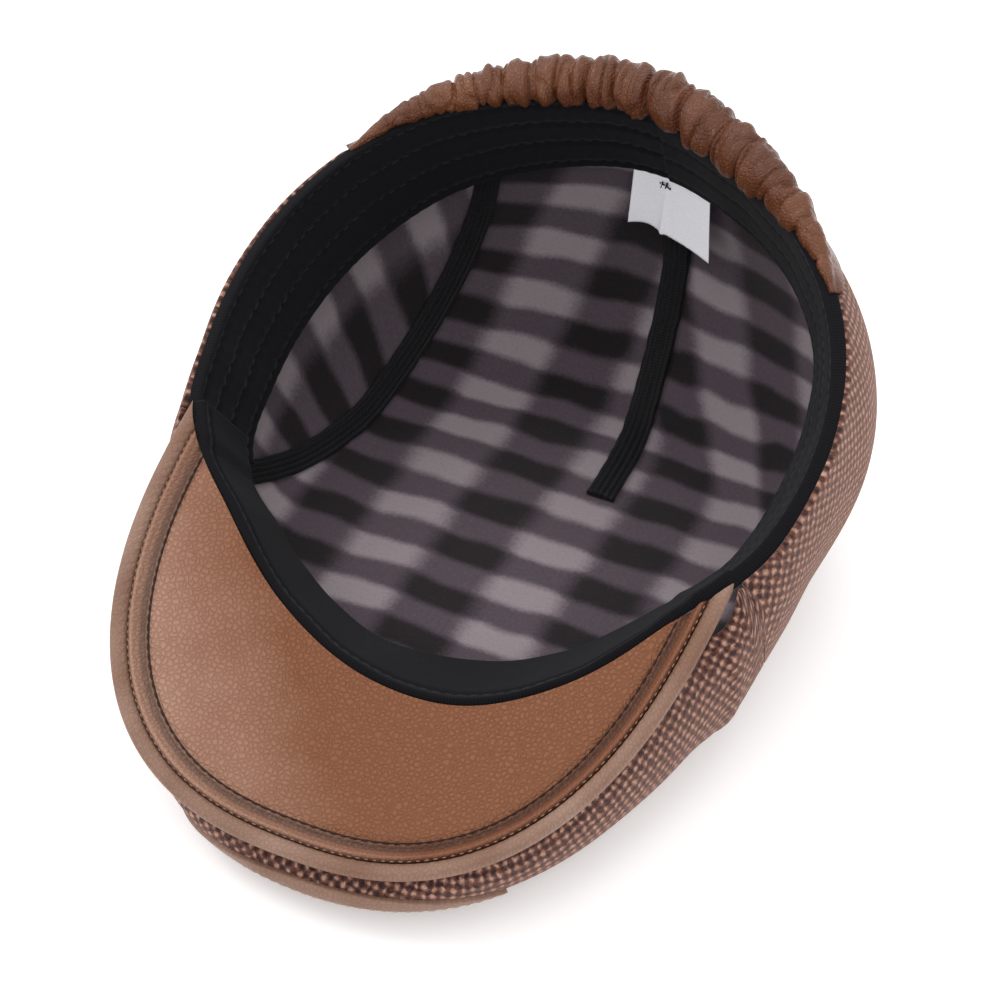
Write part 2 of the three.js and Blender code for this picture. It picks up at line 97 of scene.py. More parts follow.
def add(tree, kind, inputs=None, **settings):
    """Adds a node with its settings; an input is a value, a socket, or a node whose first output links."""
    made = tree.nodes.new(kind if "Node" in kind else "ShaderNode" + kind)
    for name, value in settings.items():
        setattr(made, name, value)
    for name, value in (inputs or {}).items():
        if isinstance(value, bpy.types.Node):
            value = value.outputs[0]
        if isinstance(value, bpy.types.NodeSocket):
            tree.links.new(value, made.inputs[name])
        else:
            made.inputs[name].default_value = value
    return made


def new_material(name):
    material = bpy.data.materials.new(name)
    material.use_nodes = True
    material.node_tree.nodes.clear()
    return material, material.node_tree


def finish_material(tree, shader):
    add(tree, "OutputMaterial", {"Surface": shader})


def ramp(tree, factor, stops):
    """A colour ramp from a list of places and hex colours."""
    made = add(tree, "ValToRGB", {"Fac": factor})
    elements = made.color_ramp.elements
    while len(elements) < len(stops):
        elements.new(0.5)
    for element, (place, colour) in zip(elements, stops):
        element.position = place
        element.color = linear(colour)
    return made.outputs["Color"]


# %% [markdown]
# ## Floor and light
# The cap lies on a light table: white acrylic that glows a little, so shadows stay faint. A big lamp
# at the left gives the leather its broad sheen, and a white surrounding fills the inside of the crown.

# %% Floor and light
HALF_FLOOR = 6.0
FLOOR_GLOW = 0.25
SURROUND_STRENGTH = 0.9
EXPOSURE = 0.15
LAMP_AIM = (0, -0.02, 0.05)
LAMPS = {
    # place, width in m, watts
    "softbox_left": ((-0.9, -0.1, 1.0), 0.8, 5.0),
    "softbox_right": ((0.9, -0.9, 1.3), 0.9, 2.0),
    "softbox_top": ((0.1, 0.6, 1.5), 1.0, 4.5),
}

scene = bpy.context.scene
scene.view_settings.view_transform = "Standard"
scene.view_settings.look = "None"
scene.view_settings.exposure = EXPOSURE

floor_material, tree = new_material("backlit_white_acrylic")
paint = add(tree, "BsdfPrincipled", {
    "Base Color": linear("#f7f7f7"), "Roughness": 0.9,
    "Emission Color": (1, 1, 1, 1), "Emission Strength": FLOOR_GLOW,
})
finish_material(tree, paint)

floor_mesh = bpy.data.meshes.new("floor")
floor_mesh.from_pydata(
    [(x * HALF_FLOOR, y * HALF_FLOOR, 0) for x, y in ((-1, -1), (1, -1), (1, 1), (-1, 1))],
    [], [(0, 1, 2, 3)],
)
floor_mesh.materials.append(floor_material)
floor = bpy.data.objects.new("floor", floor_mesh)
scene.collection.objects.link(floor)

world = bpy.data.worlds.new("white_surround")
scene.world = world
world.use_nodes = True
world.node_tree.nodes["Background"].inputs["Color"].default_value = (1, 1, 1, 1)
world.node_tree.nodes["Background"].inputs["Strength"].default_value = SURROUND_STRENGTH


def softbox(name, place, width, watts):
    lamp = bpy.data.lights.new(name, "AREA")
    lamp.size = width
    lamp.energy = watts
    made = bpy.data.objects.new(name, lamp)
    made.location = place
    made.rotation_euler = (Vector(LAMP_AIM) - Vector(place)).to_track_quat("-Z", "Y").to_euler()
    scene.collection.objects.link(made)


for name, (place, width, watts) in LAMPS.items():
    softbox(name, place, width, watts)
print("lights:", list(LAMPS))

# %% [markdown]
# ## The shape of the cap
# A cap is sewn from flat pieces, and its form comes from a few curves: the rim that fits the head,
# the outline of the bill, and the line down which the crown falls. They are written here as
# functions of the angle round from the bill, in millimetres, and take whole arrays of angles.
# Short tables hold the soft dents as shares of the sizes that they follow.

# %% Sizes and tables
LIE_TILT = math.radians(22)
RIM_HEIGHT = 74.0
RIM_HALF_WIDTH = 89.9
RIM_FRONT = 93.45
RIM_BACK = 91.0
BILL_HALF_WIDTH = 83.0
BILL_SHIFT_X = -1.0
BILL_ROOT_Y = -38.0
BILL_REACH = 112.0
BILL_SQUARENESS = 2.5
BILL_CORNER = 66.0
BILL_ARCH = 8.0
BILL_SLOPE = math.radians(12)
BILL_THICKNESS = 3.0
BINDING_WIDTH = 4.8
BORDER_WIDTH = 6.0
TWEED_THICKNESS = 2.0
LINING_THICKNESS = 1.2
LINING_NEAR = 4.2
LINING_FAR = 5.4
GAP = 0.3
HALVINGS = 40
BAND_WIDTH = 32.0
BAND_THICKNESS = 1.6
CROWN_POLE = np.array([5.0, -25.0])
SEAM_END = 152.0
PANEL_END = 151.5
ELASTIC_HALF = 56.0

RIM_DENTS = [
    (-160, -0.004), (-135, 0.01), (-100, -0.01), (-80, -0.013), (-64, 0.004), (-43, -0.056),
    (-22, -0.04), (0, 0.006), (15, 0.027), (32, 0.004), (52, -0.034), (64, -0.01), (75, 0.008),
    (120, 0.002), (158, -0.022), (180, 0),
]
CROWN_BELLY = [
    (-160, 0.145), (-120, 0.1), (-90, 0.1), (-60, 0.07), (-30, -0.02), (0, 0.1), (30, 0.067),
    (60, 0.11), (90, 0.025), (120, 0.133), (160, 0.155), (180, 0.16),
]
BAND_LEAN = [
    (-160, 0.08), (-146, 0.13), (-125, 0.21), (-102, 0.22), (-86, 0.19), (-66, 0.15), (-45, 0.19),
    (-15, 0.32), (10, 0.5), (35, 0.43), (50, 0.35), (66, 0.31), (90, 0.28), (108, 0.21),
    (125, 0.11), (150, 0.03), (180, 0.03),
]
print("dents in the rim:", len(RIM_DENTS))


# %% Curves through the tables
def wrap(deg):
    return (np.asarray(deg, float) + 180) % 360 - 180


def round_table(rows, deg):
    """A smooth closed curve through rows of angle and value."""
    angle = np.array([row[0] for row in rows], float)
    value = np.array([row[1] for row in rows], float)
    x = np.concatenate([angle[-2:] - 360, angle, angle[:3] + 360])
    y = np.concatenate([value[-2:], value, value[:3]])
    here = wrap(deg)
    i = np.clip(np.searchsorted(x, here, side="right") - 1, 1, len(x) - 3)
    width = x[i + 1] - x[i]
    u = (here - x[i]) / width
    m1 = (y[i + 1] - y[i - 1]) / (x[i + 1] - x[i - 1]) * width
    m2 = (y[i + 2] - y[i]) / (x[i + 2] - x[i]) * width
    return ((2 * u**3 - 3 * u**2 + 1) * y[i] + (u**3 - 2 * u**2 + u) * m1
            + (3 * u**2 - 2 * u**3) * y[i + 1] + (u**3 - u**2) * m2)


def smooth_step(x):
    u = np.clip(x, 0, 1)
    return u * u * (3 - 2 * u)


def hump(x, middle, width):
    """A soft hump: 1 at the middle, and nearly nothing two widths away from it."""
    return np.exp(-((x - middle) / width) ** 2)


def ripples(x, y, size, seed, count=10):
    """Soft unevenness of about that size, from -1 to 1: a few crossing waves with a fixed seed."""
    rng = np.random.default_rng(seed)
    total = 0
    for _ in range(count):
        way = rng.uniform(0, 2 * np.pi)
        pitch = 2 * np.pi / (size * rng.uniform(0.7, 2.2))
        total = total + np.sin(pitch * (x * np.cos(way) + y * np.sin(way)) + rng.uniform(0, 2 * np.pi))
    return total / math.sqrt(count) / 1.6


print("rim dent at the left corner:", float(round_table(RIM_DENTS, -43)))


# %% Rim and bill
def lay(x, y, z):
    """From the cap's own frame, with the rim's plane at z = 0, to where it lies."""
    c, s = math.cos(LIE_TILT), math.sin(LIE_TILT)
    return np.stack(np.broadcast_arrays(x, y * c - z * s, y * s + z * c + RIM_HEIGHT), -1)


def rim_radius(deg):
    a = np.radians(deg)
    end = np.where(np.cos(a) > 0, RIM_FRONT, RIM_BACK)
    return (1 + round_table(RIM_DENTS, deg)) / np.hypot(np.sin(a) / RIM_HALF_WIDTH, np.cos(a) / end)


def arch_height(deg):
    share = np.minimum(1, np.abs(wrap(deg)) / BILL_CORNER)
    return -BILL_ARCH * np.cos(np.pi / 2 * share) ** 2


def off_rim(deg, out, up):
    """A point off the rim: out is away from the middle, up is out of the opening."""
    deg = np.asarray(deg, float)
    r = rim_radius(deg) + out
    a = np.radians(deg)
    return lay(r * np.sin(a), -r * np.cos(a), arch_height(deg) + up)


def find_bill_depth(deg):
    a = np.radians(deg)
    start = rim_radius(deg)

    def inside(r):
        across = np.abs(r * np.sin(a) - BILL_SHIFT_X) / BILL_HALF_WIDTH
        along = np.maximum(0, BILL_ROOT_Y + r * np.cos(a)) / BILL_REACH
        return across**BILL_SQUARENESS + along**BILL_SQUARENESS < 1

    near, far = start.copy(), start + BILL_REACH
    for _ in range(HALVINGS):
        middle = (near + far) / 2
        hit = inside(middle)
        near = np.where(hit, middle, near)
        far = np.where(hit, far, middle)
    return np.where((np.abs(wrap(deg)) > 90) | ~inside(start), 0, near - start)


DEPTH_ANGLES = np.linspace(-180, 180, 14401)
DEPTHS = find_bill_depth(DEPTH_ANGLES)


def bill_depth(deg):
    """How far the bill's outline lies beyond the rim."""
    return np.interp(wrap(deg), DEPTH_ANGLES, DEPTHS)


def edge_stretch(deg):
    """One millimetre across the bill's edge, measured along the line from the middle."""
    step = 0.5
    ahead = rim_radius(deg + step) + bill_depth(deg + step)
    behind = rim_radius(deg - step) + bill_depth(deg - step)
    slope = (ahead - behind) / (2 * math.radians(step))
    return np.minimum(3, np.hypot(1, slope / (rim_radius(deg) + bill_depth(deg))))


def bill_point(deg, out, up):
    return off_rim(deg, out, out * math.tan(BILL_SLOPE) + up)


print("bill, mm deep at the middle:", round(float(bill_depth(0)), 1))


# %% Crown and lining surfaces
TABLE_BEND = 6.0
RIM_FALL = 0.38
BELLY_FULLNESS = 1.6
LOW_POINT_OUT = 0.94
LOW_POINT_DROP = 0.24
POLE_SINK = 12
SEAM_DEEPEST = 0.62
SEAM_SQUARENESS = 0.28
CASING_DEEPEST = 0.18
CASING_SQUARENESS = 0.8


def flatten(z):
    """Cloth that would sink below the table lies flat on it, with a soft bend."""
    bent = (z + TABLE_BEND) ** 2 / (4 * TABLE_BEND)
    return np.where(z < -TABLE_BEND, 0, np.where(z > TABLE_BEND, z, bent))


def meridian(start, belly, share):
    """One line from the rim, out over the belly and in to the pole on the table."""
    away = start[..., :2] - CROWN_POLE
    r0 = np.linalg.norm(away, axis=-1)
    z0 = start[..., 2]
    fall = RIM_FALL * z0
    lean = fall * math.tan(LIE_TILT) * np.maximum(0, away[..., 1] / r0)
    s = 1 - share
    r = (s**3 * r0 + 3 * s * s * share * (r0 + BELLY_FULLNESS * belly + lean)
         + 3 * s * share**2 * (LOW_POINT_OUT * r0 + belly))
    z = (s**3 * z0 + 3 * s * s * share * (z0 - fall)
         - 3 * s * share**2 * (LOW_POINT_DROP * z0 + POLE_SINK / 2) - share**3 * POLE_SINK)
    flat = CROWN_POLE + away * (r / r0)[..., None]
    return np.concatenate([flat, flatten(z)[..., None]], -1)


CORNER_EASE_DEG = 5.0
CORNER_REACH_DEG = 9.0
EDGE_TUCK = 3.5
EDGE_DROP = 4.9
EASED_BELOW_SHARE = 0.14


def ease_round_corner(values):
    """Values along the rim, blurred near the bill's corners and unchanged elsewhere."""
    step = DEPTH_ANGLES[1] - DEPTH_ANGLES[0]
    reach = np.arange(-4 * CORNER_EASE_DEG, 4 * CORNER_EASE_DEG + step, step)
    bell = np.exp(-((reach / CORNER_EASE_DEG) ** 2) / 2)
    bell /= bell.sum()
    soft = np.convolve(np.pad(values, len(bell) // 2, mode="wrap"), bell, mode="valid")[:len(values)]
    from_corner = np.abs(np.abs(DEPTH_ANGLES) - BILL_CORNER)
    return values + (soft - values) * smooth_step(2.2 - from_corner / CORNER_REACH_DEG)


def crown_edge():
    """How far the crown's edge lies out from the rim and above it: beside the rim, or below the bill."""
    beside = TWEED_THICKNESS + GAP
    under = smooth_step((DEPTHS - BINDING_WIDTH) / (2 * BINDING_WIDTH))
    out = DEPTHS + beside - (beside + EDGE_TUCK) * under
    rise = DEPTHS * math.tan(BILL_SLOPE) - EDGE_DROP * smooth_step(DEPTHS / BINDING_WIDTH)
    return out, rise


EDGE_OUT, EDGE_RISE = crown_edge()
EASED_OUT = np.maximum(EDGE_OUT, ease_round_corner(EDGE_OUT))
EASED_RISE = ease_round_corner(EDGE_RISE)


def crown_surface(deg, share):
    deg, share = np.broadcast_arrays(np.asarray(deg, float), np.asarray(share, float))
    here = wrap(deg)
    ease = smooth_step(share / EASED_BELOW_SHARE)
    out, rise = (
        np.interp(here, DEPTH_ANGLES, edge) * (1 - ease) + np.interp(here, DEPTH_ANGLES, eased) * ease
        for edge, eased in ((EDGE_OUT, EASED_OUT), (EDGE_RISE, EASED_RISE))
    )
    return meridian(off_rim(deg, out, rise), round_table(CROWN_BELLY, deg) * RIM_HALF_WIDTH, share)


def lining_surface(deg, share):
    deg, share = np.broadcast_arrays(np.asarray(deg, float), np.asarray(share, float))
    start = off_rim(deg, TWEED_THICKNESS + GAP, 0)
    front = smooth_step((BILL_CORNER + 8 - np.abs(wrap(deg))) / 30)
    belly = round_table(CROWN_BELLY, deg) * RIM_HALF_WIDTH * (1 - 0.7 * front)
    return meridian(start, belly, share)


def inward_normal(surface, deg, share):
    at = np.clip(share, 0.002, 0.96)
    around = surface(deg + 0.2, at) - surface(deg - 0.2, at)
    down = surface(deg, at + 0.002) - surface(deg, at - 0.002)
    n = np.cross(around, down)
    return n / np.linalg.norm(n, axis=-1, keepdims=True)


def inset(surface, deg, share, depth):
    """A point below a surface, towards the inside of the cap."""
    deg, share, depth = np.broadcast_arrays(
        np.asarray(deg, float), np.asarray(share, float), np.asarray(depth, float)
    )
    return surface(deg, share) + inward_normal(surface, deg, share) * depth[..., None]


def seam_share(deg):
    """The seam between the top panel and a side panel."""
    along = (np.abs(wrap(deg)) - BILL_CORNER) / (SEAM_END - BILL_CORNER)
    inside = (along > 0) & (along < 1)
    return np.where(inside, SEAM_DEEPEST * np.sin(np.pi * np.clip(along, 0, 1)) ** SEAM_SQUARENESS, 0)


def elastic_share(deg):
    """The lower edge of the gathered casing."""
    along = (180 - np.abs(wrap(deg))) / ELASTIC_HALF
    deep = CASING_DEEPEST * np.cos(np.pi / 2 * np.minimum(1, along)) ** CASING_SQUARENESS
    return np.where(along < 1, deep, 0)


def band_point(deg, depth, inwards):
    """The bands hang from the rim and lean inwards."""
    lean = round_table(BAND_LEAN, deg) * np.pi / 2
    out = -depth * np.sin(lean) - inwards * np.cos(lean)
    up = -depth * np.cos(lean) + inwards * np.sin(lean)
    return off_rim(deg, out, up)


print("crown at the back, mm:", crown_surface(180.0, 0.1).round(1))

# %% [markdown]
# ## Sheets of cloth and leather
# Nearly every piece is a thin sheet: a grid of points for its outer face, a second grid for its
# inner face, and walls between their edges. One function turns two such grids into a closed mesh
# and stores where each point lies on the flat cloth, in millimetres, as the UV map that weaves and
# grains follow. Edges are rounded by letting the two faces meet where the sheet ends.

# %% From two grids to a closed mesh
MM = 0.001


def rounded(v, ease):
    """How thick a sheet is near its two ends, as a share: a quarter circle at each."""
    near_end = np.clip(np.minimum(v, 1 - v) / ease, 0, 1)
    return np.sqrt(np.maximum(0, 1 - (1 - near_end) ** 2))


def rows_across(count, ease, both=True):
    """Places across a sheet from 0 to 1, closer together where its ends are rounded."""
    bend = np.array([0, 0.08, 0.3, 0.62]) * ease
    middle = np.linspace(ease, 1 - ease if both else 1, count)
    return np.concatenate([bend, middle, 1 - bend[::-1]]) if both else np.concatenate([bend, middle])


def sheet_quads(columns, rows, ring):
    """Corner numbers of the faces of a closed sheet, and of the grid points whose cloth they show."""
    here = np.arange(columns * rows).reshape(columns, rows)
    last = columns if ring else columns - 1
    a, b = here[:last], np.roll(here, -1, axis=0)[:last]
    wide = np.arange((columns + 1) * rows).reshape(columns + 1, rows)
    c, d = wide[:last], wide[1:last + 1]
    other = columns * rows
    groups = [
        ((a[:, :-1], b[:, :-1], b[:, 1:], a[:, 1:]), (c[:, :-1], d[:, :-1], d[:, 1:], c[:, 1:])),
        ((a[:, 1:] + other, b[:, 1:] + other, b[:, :-1] + other, a[:, :-1] + other),
         (c[:, 1:], d[:, 1:], d[:, :-1], c[:, :-1])),
        ((b[:, 0], a[:, 0], a[:, 0] + other, b[:, 0] + other), (d[:, 0], c[:, 0], c[:, 0], d[:, 0])),
        ((a[:, -1], b[:, -1], b[:, -1] + other, a[:, -1] + other), (c[:, -1], d[:, -1], d[:, -1], c[:, -1])),
    ]
    if not ring:
        near, far = here[0, :-1], here[0, 1:]
        groups.append(((near, far, far + other, near + other), (near,) * 4))
        near, far = here[-1, :-1][::-1], here[-1, 1:][::-1]
        groups.append(((far, near, near + other, far + other), (near,) * 4))
    return [np.concatenate([np.stack([k.ravel() for k in group[part]], -1) for group in groups])
            for part in (0, 1)]


def closed_sheet(name, face, inner, cloth, ring, material):
    """A closed mesh between two grids in mm; cloth holds the flat place of each grid point."""
    columns, rows = face.shape[:2]
    points = np.concatenate([face.reshape(-1, 3), inner.reshape(-1, 3)]) * MM
    quads, cloth_points = sheet_quads(columns, rows, ring)
    p = points[quads]
    volume = np.einsum("ij,ij->i", p[:, 0], np.cross(p[:, 1], p[:, 2])).sum()
    volume += np.einsum("ij,ij->i", p[:, 0], np.cross(p[:, 2], p[:, 3])).sum()
    if volume < 0:
        quads, cloth_points = quads[:, ::-1], cloth_points[:, ::-1]
    mesh = bpy.data.meshes.new(name)
    mesh.from_pydata(points.tolist(), [], quads.tolist())
    layer = mesh.uv_layers.new(name="cloth")
    layer.data.foreach_set("uv", cloth.reshape(-1, 2)[cloth_points].astype(np.float32).ravel())
    mesh.materials.append(material)
    built = bmesh.new()
    built.from_mesh(mesh)
    bmesh.ops.remove_doubles(built, verts=built.verts, dist=2e-6)
    bmesh.ops.dissolve_degenerate(built, edges=built.edges, dist=1e-7)
    built.to_mesh(mesh)
    built.free()
    mesh.polygons.foreach_set("use_smooth", np.ones(len(mesh.polygons), bool))
    made = bpy.data.objects.new(name, mesh)
    scene.collection.objects.link(made)
    print(name, "faces:", len(mesh.polygons))
    return made


def put_on(piece, node):
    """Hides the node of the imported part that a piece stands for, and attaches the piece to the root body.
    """
    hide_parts(node)
    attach(piece, "root")


def arc_lengths(points, axis=0):
    """Distance along a grid of points, from its first row."""
    step = np.linalg.norm(np.diff(points, axis=axis), axis=-1)
    start = np.zeros_like(np.take(step, [0], axis))
    return np.concatenate([start, np.cumsum(step, axis)], axis)


# %% [markdown]
# ## Tweed for the crown
# The outside is a wool tweed: dark brown and beige yarns in a small basket weave. Each crossing
# shows as a blob about 1.9 mm wide, beige or brown by turns. Two crossed waves give the blobs, a
# little noise bends them, and a finer noise breaks them into fibres. Sheen gives the pale dust that
# wool shows where it turns away from the eye.

# %% Tweed material
TWEED_REPEAT_MM = 3.8


def tweed_material():
    """Wool tweed, woven and brushed: no gloss, and dusty where it turns away from the eye."""
    material, tree = new_material("wool_tweed_basket_weave")
    flat = add(tree, "UVMap", uv_map="cloth")
    wander = add(tree, "TexNoise", {"Vector": flat, "Scale": 0.42, "Detail": 4.0})
    shift = add(tree, "VectorMath", {0: wander.outputs["Color"], 1: (0.5, 0.5, 0.5)}, operation="SUBTRACT")
    shift = add(tree, "VectorMath", {0: shift, "Scale": 2.6}, operation="SCALE")
    bent = add(tree, "VectorMath", {0: flat, 1: shift}, operation="ADD")
    turned = add(tree, "Mapping", {
        "Vector": bent, "Rotation": (0, 0, math.radians(4)),
        "Scale": (2 * math.pi / TWEED_REPEAT_MM,) * 3,
    })
    axis = add(tree, "SeparateXYZ", {0: turned})
    waves = [add(tree, "Math", {0: axis.outputs[k]}, operation="SINE") for k in (0, 1)]
    blobs = add(tree, "Math", {0: waves[0], 1: waves[1]}, operation="MULTIPLY")
    fibres = add(tree, "TexNoise", {"Vector": flat, "Scale": 2.2, "Detail": 3.0, "Roughness": 0.7})
    frayed = add(tree, "Math", {0: fibres, 1: 1.5, 2: -0.75}, operation="MULTIPLY_ADD")
    mixed = add(tree, "Math", {0: blobs, 1: frayed}, operation="ADD")
    share = add(tree, "MapRange", {"Value": mixed, "From Min": -1.0})
    yarn = ramp(tree, share, [(0.0, "#271719"), (0.36, "#3c2527"), (0.55, "#60413c"), (0.78, "#926b5a"),
                              (1.0, "#bd9985")])
    patches = add(tree, "TexNoise", {"Vector": flat, "Scale": 0.6, "Detail": 1.0})
    warm = add(tree, "MapRange", {"Value": patches, "From Min": 0.5, "From Max": 0.72})
    light = add(tree, "Math", {0: warm, 1: 0.5}, operation="MULTIPLY")
    colour = add(tree, "Mix", {0: light, 6: yarn, 7: linear("#7c4a30")}, data_type="RGBA")
    height = add(tree, "Math", {0: blobs, 1: 0.25, 2: fibres}, operation="MULTIPLY_ADD")
    bump = add(tree, "Bump", {"Height": height, "Strength": 0.9, "Distance": 0.0005})
    wool = add(tree, "BsdfPrincipled", {
        "Base Color": colour.outputs[2], "Roughness": 0.95, "Normal": bump,
        "Sheen Weight": 0.7, "Sheen Roughness": 0.42, "Sheen Tint": linear("#d2b0a4"),
        "Specular IOR Level": 0.2,
    })
    finish_material(tree, wool)
    return material


tweed = tweed_material()
print("tweed repeat, mm:", TWEED_REPEAT_MM)

# %% [markdown]
# ## Crown panels
# The crown has a top panel, which runs from under the bill to the back, and a crescent at each
# side. A flat piece of cloth was stretched into each, so its weave has to be laid out the same way:
# a coarse copy of the panel is unwrapped flat with little stretch, scaled to real millimetres, and
# the fine mesh reads its cloth places from it.

# %% Lay cloth out flat
COARSE_COLUMNS = 73
COARSE_ROWS = 21
LUMP_HEIGHT = 0.5
LUMP_SIZE = 26
LUMPS_FULL_AT = 18


def unwrap_flat(points, ring):
    """The flat place in mm of each point of a coarse grid, found by unwrapping it."""
    columns, rows = points.shape[:2]
    here = np.arange(columns * rows).reshape(columns, rows)
    b = np.roll(here, -1, axis=0)
    last = columns if ring else columns - 1
    quads = np.stack([here[:last, :-1], b[:last, :-1], b[:last, 1:], here[:last, 1:]], -1).reshape(-1, 4)
    mesh = bpy.data.meshes.new("coarse")
    flat_points = points.reshape(-1, 3)
    if ring:
        pole = here[:, -1]
        quads = np.where(np.isin(quads, pole), pole[0], quads)
    faces = [list(dict.fromkeys(q)) for q in quads.tolist()]
    mesh.from_pydata(flat_points.tolist(), [], faces)
    made = bpy.data.objects.new("coarse", mesh)
    scene.collection.objects.link(made)
    mesh.uv_layers.new(name="flat")
    bpy.context.view_layer.objects.active = made
    made.select_set(True)
    bpy.ops.object.mode_set(mode="EDIT")
    bpy.ops.mesh.select_all(action="SELECT")
    bpy.ops.uv.unwrap(method="MINIMUM_STRETCH", iterations=15, margin=0)
    bpy.ops.object.mode_set(mode="OBJECT")
    layer = mesh.uv_layers["flat"]
    uv = np.zeros(len(mesh.loops) * 2)
    layer.data.foreach_get("uv", uv)
    corner = np.zeros(len(mesh.loops), int)
    mesh.loops.foreach_get("vertex_index", corner)
    flat = np.zeros((columns * rows, 2))
    flat[corner] = uv.reshape(-1, 2)
    if ring:
        flat[here[:, -1]] = flat[pole[0]]
    flat = flat.reshape(columns, rows, 2)
    solid_area = grid_area(points)
    flat_area = grid_area(np.concatenate([flat, 0 * flat[..., :1]], -1))
    flat *= math.sqrt(solid_area / flat_area)
    bpy.data.objects.remove(made)
    bpy.data.meshes.remove(mesh)
    return square_up(flat, points[..., :2])


def grid_area(points):
    d1 = points[1:, 1:] - points[:-1, :-1]
    d2 = points[1:, :-1] - points[:-1, 1:]
    return np.linalg.norm(np.cross(d1, d2), axis=-1).sum() / 2


def square_up(flat, plan):
    """Turns the flat cloth so that its threads run with the cap's own front and back."""
    f = flat.reshape(-1, 2) - flat.reshape(-1, 2).mean(0)
    p = plan.reshape(-1, 2) - plan.reshape(-1, 2).mean(0)
    u, _, vt = np.linalg.svd(f.T @ p)
    return f.reshape(flat.shape) @ (u @ vt)


def read_grid(grid, columns, rows):
    """Values of a coarse grid at fine places, given as fractions of its columns and rows."""
    x = columns * (grid.shape[0] - 1)
    y = rows * (grid.shape[1] - 1)
    i = np.clip(np.floor(x).astype(int), 0, grid.shape[0] - 2)[:, None]
    j = np.clip(np.floor(y).astype(int), 0, grid.shape[1] - 2)[None, :]
    fx = (x[:, None] - i)[..., None]
    fy = (y[None, :] - j)[..., None]
    return ((1 - fx) * (1 - fy) * grid[i, j] + fx * (1 - fy) * grid[i + 1, j]
            + (1 - fx) * fy * grid[i, j + 1] + fx * fy * grid[i + 1, j + 1])


def panel_share(top, bottom, v):
    return top[:, None] + (bottom - top)[:, None] * (1 - (1 - v[None, :]) ** 1.3)


def tweed_panel(name, degs, top, bottom, ease, count, ring):
    """A crown panel between two lines, with rounded edges, soft lumps and its own flat layout."""
    end = degs[0] + 360 if ring else degs[-1]
    coarse_degs = np.linspace(degs[0], end, COARSE_COLUMNS)
    coarse_v = np.linspace(0, 1, COARSE_ROWS)
    coarse_top, coarse_bottom = (
        np.interp(coarse_degs, np.append(degs, end), np.append(line, line[0 if ring else -1]))
        for line in (top, bottom)
    )
    coarse = crown_surface(coarse_degs[:, None], panel_share(coarse_top, coarse_bottom, coarse_v))
    layout = unwrap_flat(coarse[:-1] if ring else coarse, ring)
    around = (degs - degs[0]) / (end - degs[0])
    if ring:
        layout = np.concatenate([layout, layout[:1]])
        around = np.append(around, 1.0)
    v = rows_across(count, ease, both=not ring)
    cloth = read_grid(layout, around, v)
    grid_deg = degs[:, None] + 0 * v
    share = panel_share(top, bottom, v)
    place = crown_surface(grid_deg, share)
    lump = LUMP_HEIGHT * ripples(place[..., 0] + place[..., 2], place[..., 1], LUMP_SIZE, 4)
    middle = TWEED_THICKNESS / 2 + lump * smooth_step(place[..., 2] / LUMPS_FULL_AT)
    half = TWEED_THICKNESS / 2 * rounded(np.minimum(v, 0.5) if ring else v, ease)
    faces = [inset(crown_surface, grid_deg, share, middle + side * half) for side in (-1, 1)]
    return closed_sheet(name, *faces, cloth, ring, tweed)


# %% Crown pieces
SIDE_COLUMNS = 150


def side_top(deg):
    return np.where(elastic_share(deg) > 0, elastic_share(deg) + 0.005, 0)


def side_bottom(deg):
    return np.maximum(seam_share(deg), side_top(deg) + 0.015)


def crown_top_line(deg):
    turn = np.abs(wrap(deg))
    beside = (turn > BILL_CORNER - 0.01) & (turn < PANEL_END + 0.01)
    return np.where(beside, side_bottom(deg) + 0.002, side_top(deg))


def bunched(start, end, count):
    u = np.linspace(0, 1, count)
    return start + (end - start) * (1 - np.cos(np.pi * u)) / 2


right_degs = bunched(BILL_CORNER, PANEL_END, SIDE_COLUMNS)
left_degs = 360 - right_degs[::-1]
front_degs = np.linspace(-BILL_CORNER, BILL_CORNER, 161)
back_degs = np.linspace(PANEL_END, 360 - PANEL_END, 61)
all_degs = np.concatenate([front_degs[:-1], right_degs[:-1], back_degs[:-1], left_degs[:-1]])

crown_top = tweed_panel(
    "tweed_top_panel", all_degs, crown_top_line(all_degs), np.ones(len(all_degs)), 0.012, 60, True
)
crown_right, crown_left = (
    tweed_panel(f"tweed_side_panel_{side}", degs, side_top(degs), side_bottom(degs), 0.02, 44, False)
    for side, degs in (("right", right_degs[1:-1]), ("left", left_degs[1:-1]))
)
put_on(crown_top, "crown_top")
put_on(crown_right, "crown_side_right")
put_on(crown_left, "crown_side_left")

# %% [markdown]
# ## Brushed plaid for the lining
# The lining is a soft brushed cloth in grey, woven with a plaid of two stripes that cross. Where
# neither stripe runs the cloth is light, where one runs it is mauve grey, and where both cross it
# is nearly black. The brushing blurs every edge, so the stripes are soft waves cut by a ramp.

# %% Plaid material
PLAID_COLUMN_MM = 22.5
PLAID_ROW_MM = 19.0
PLAID_ROW_START_MM = 3.0


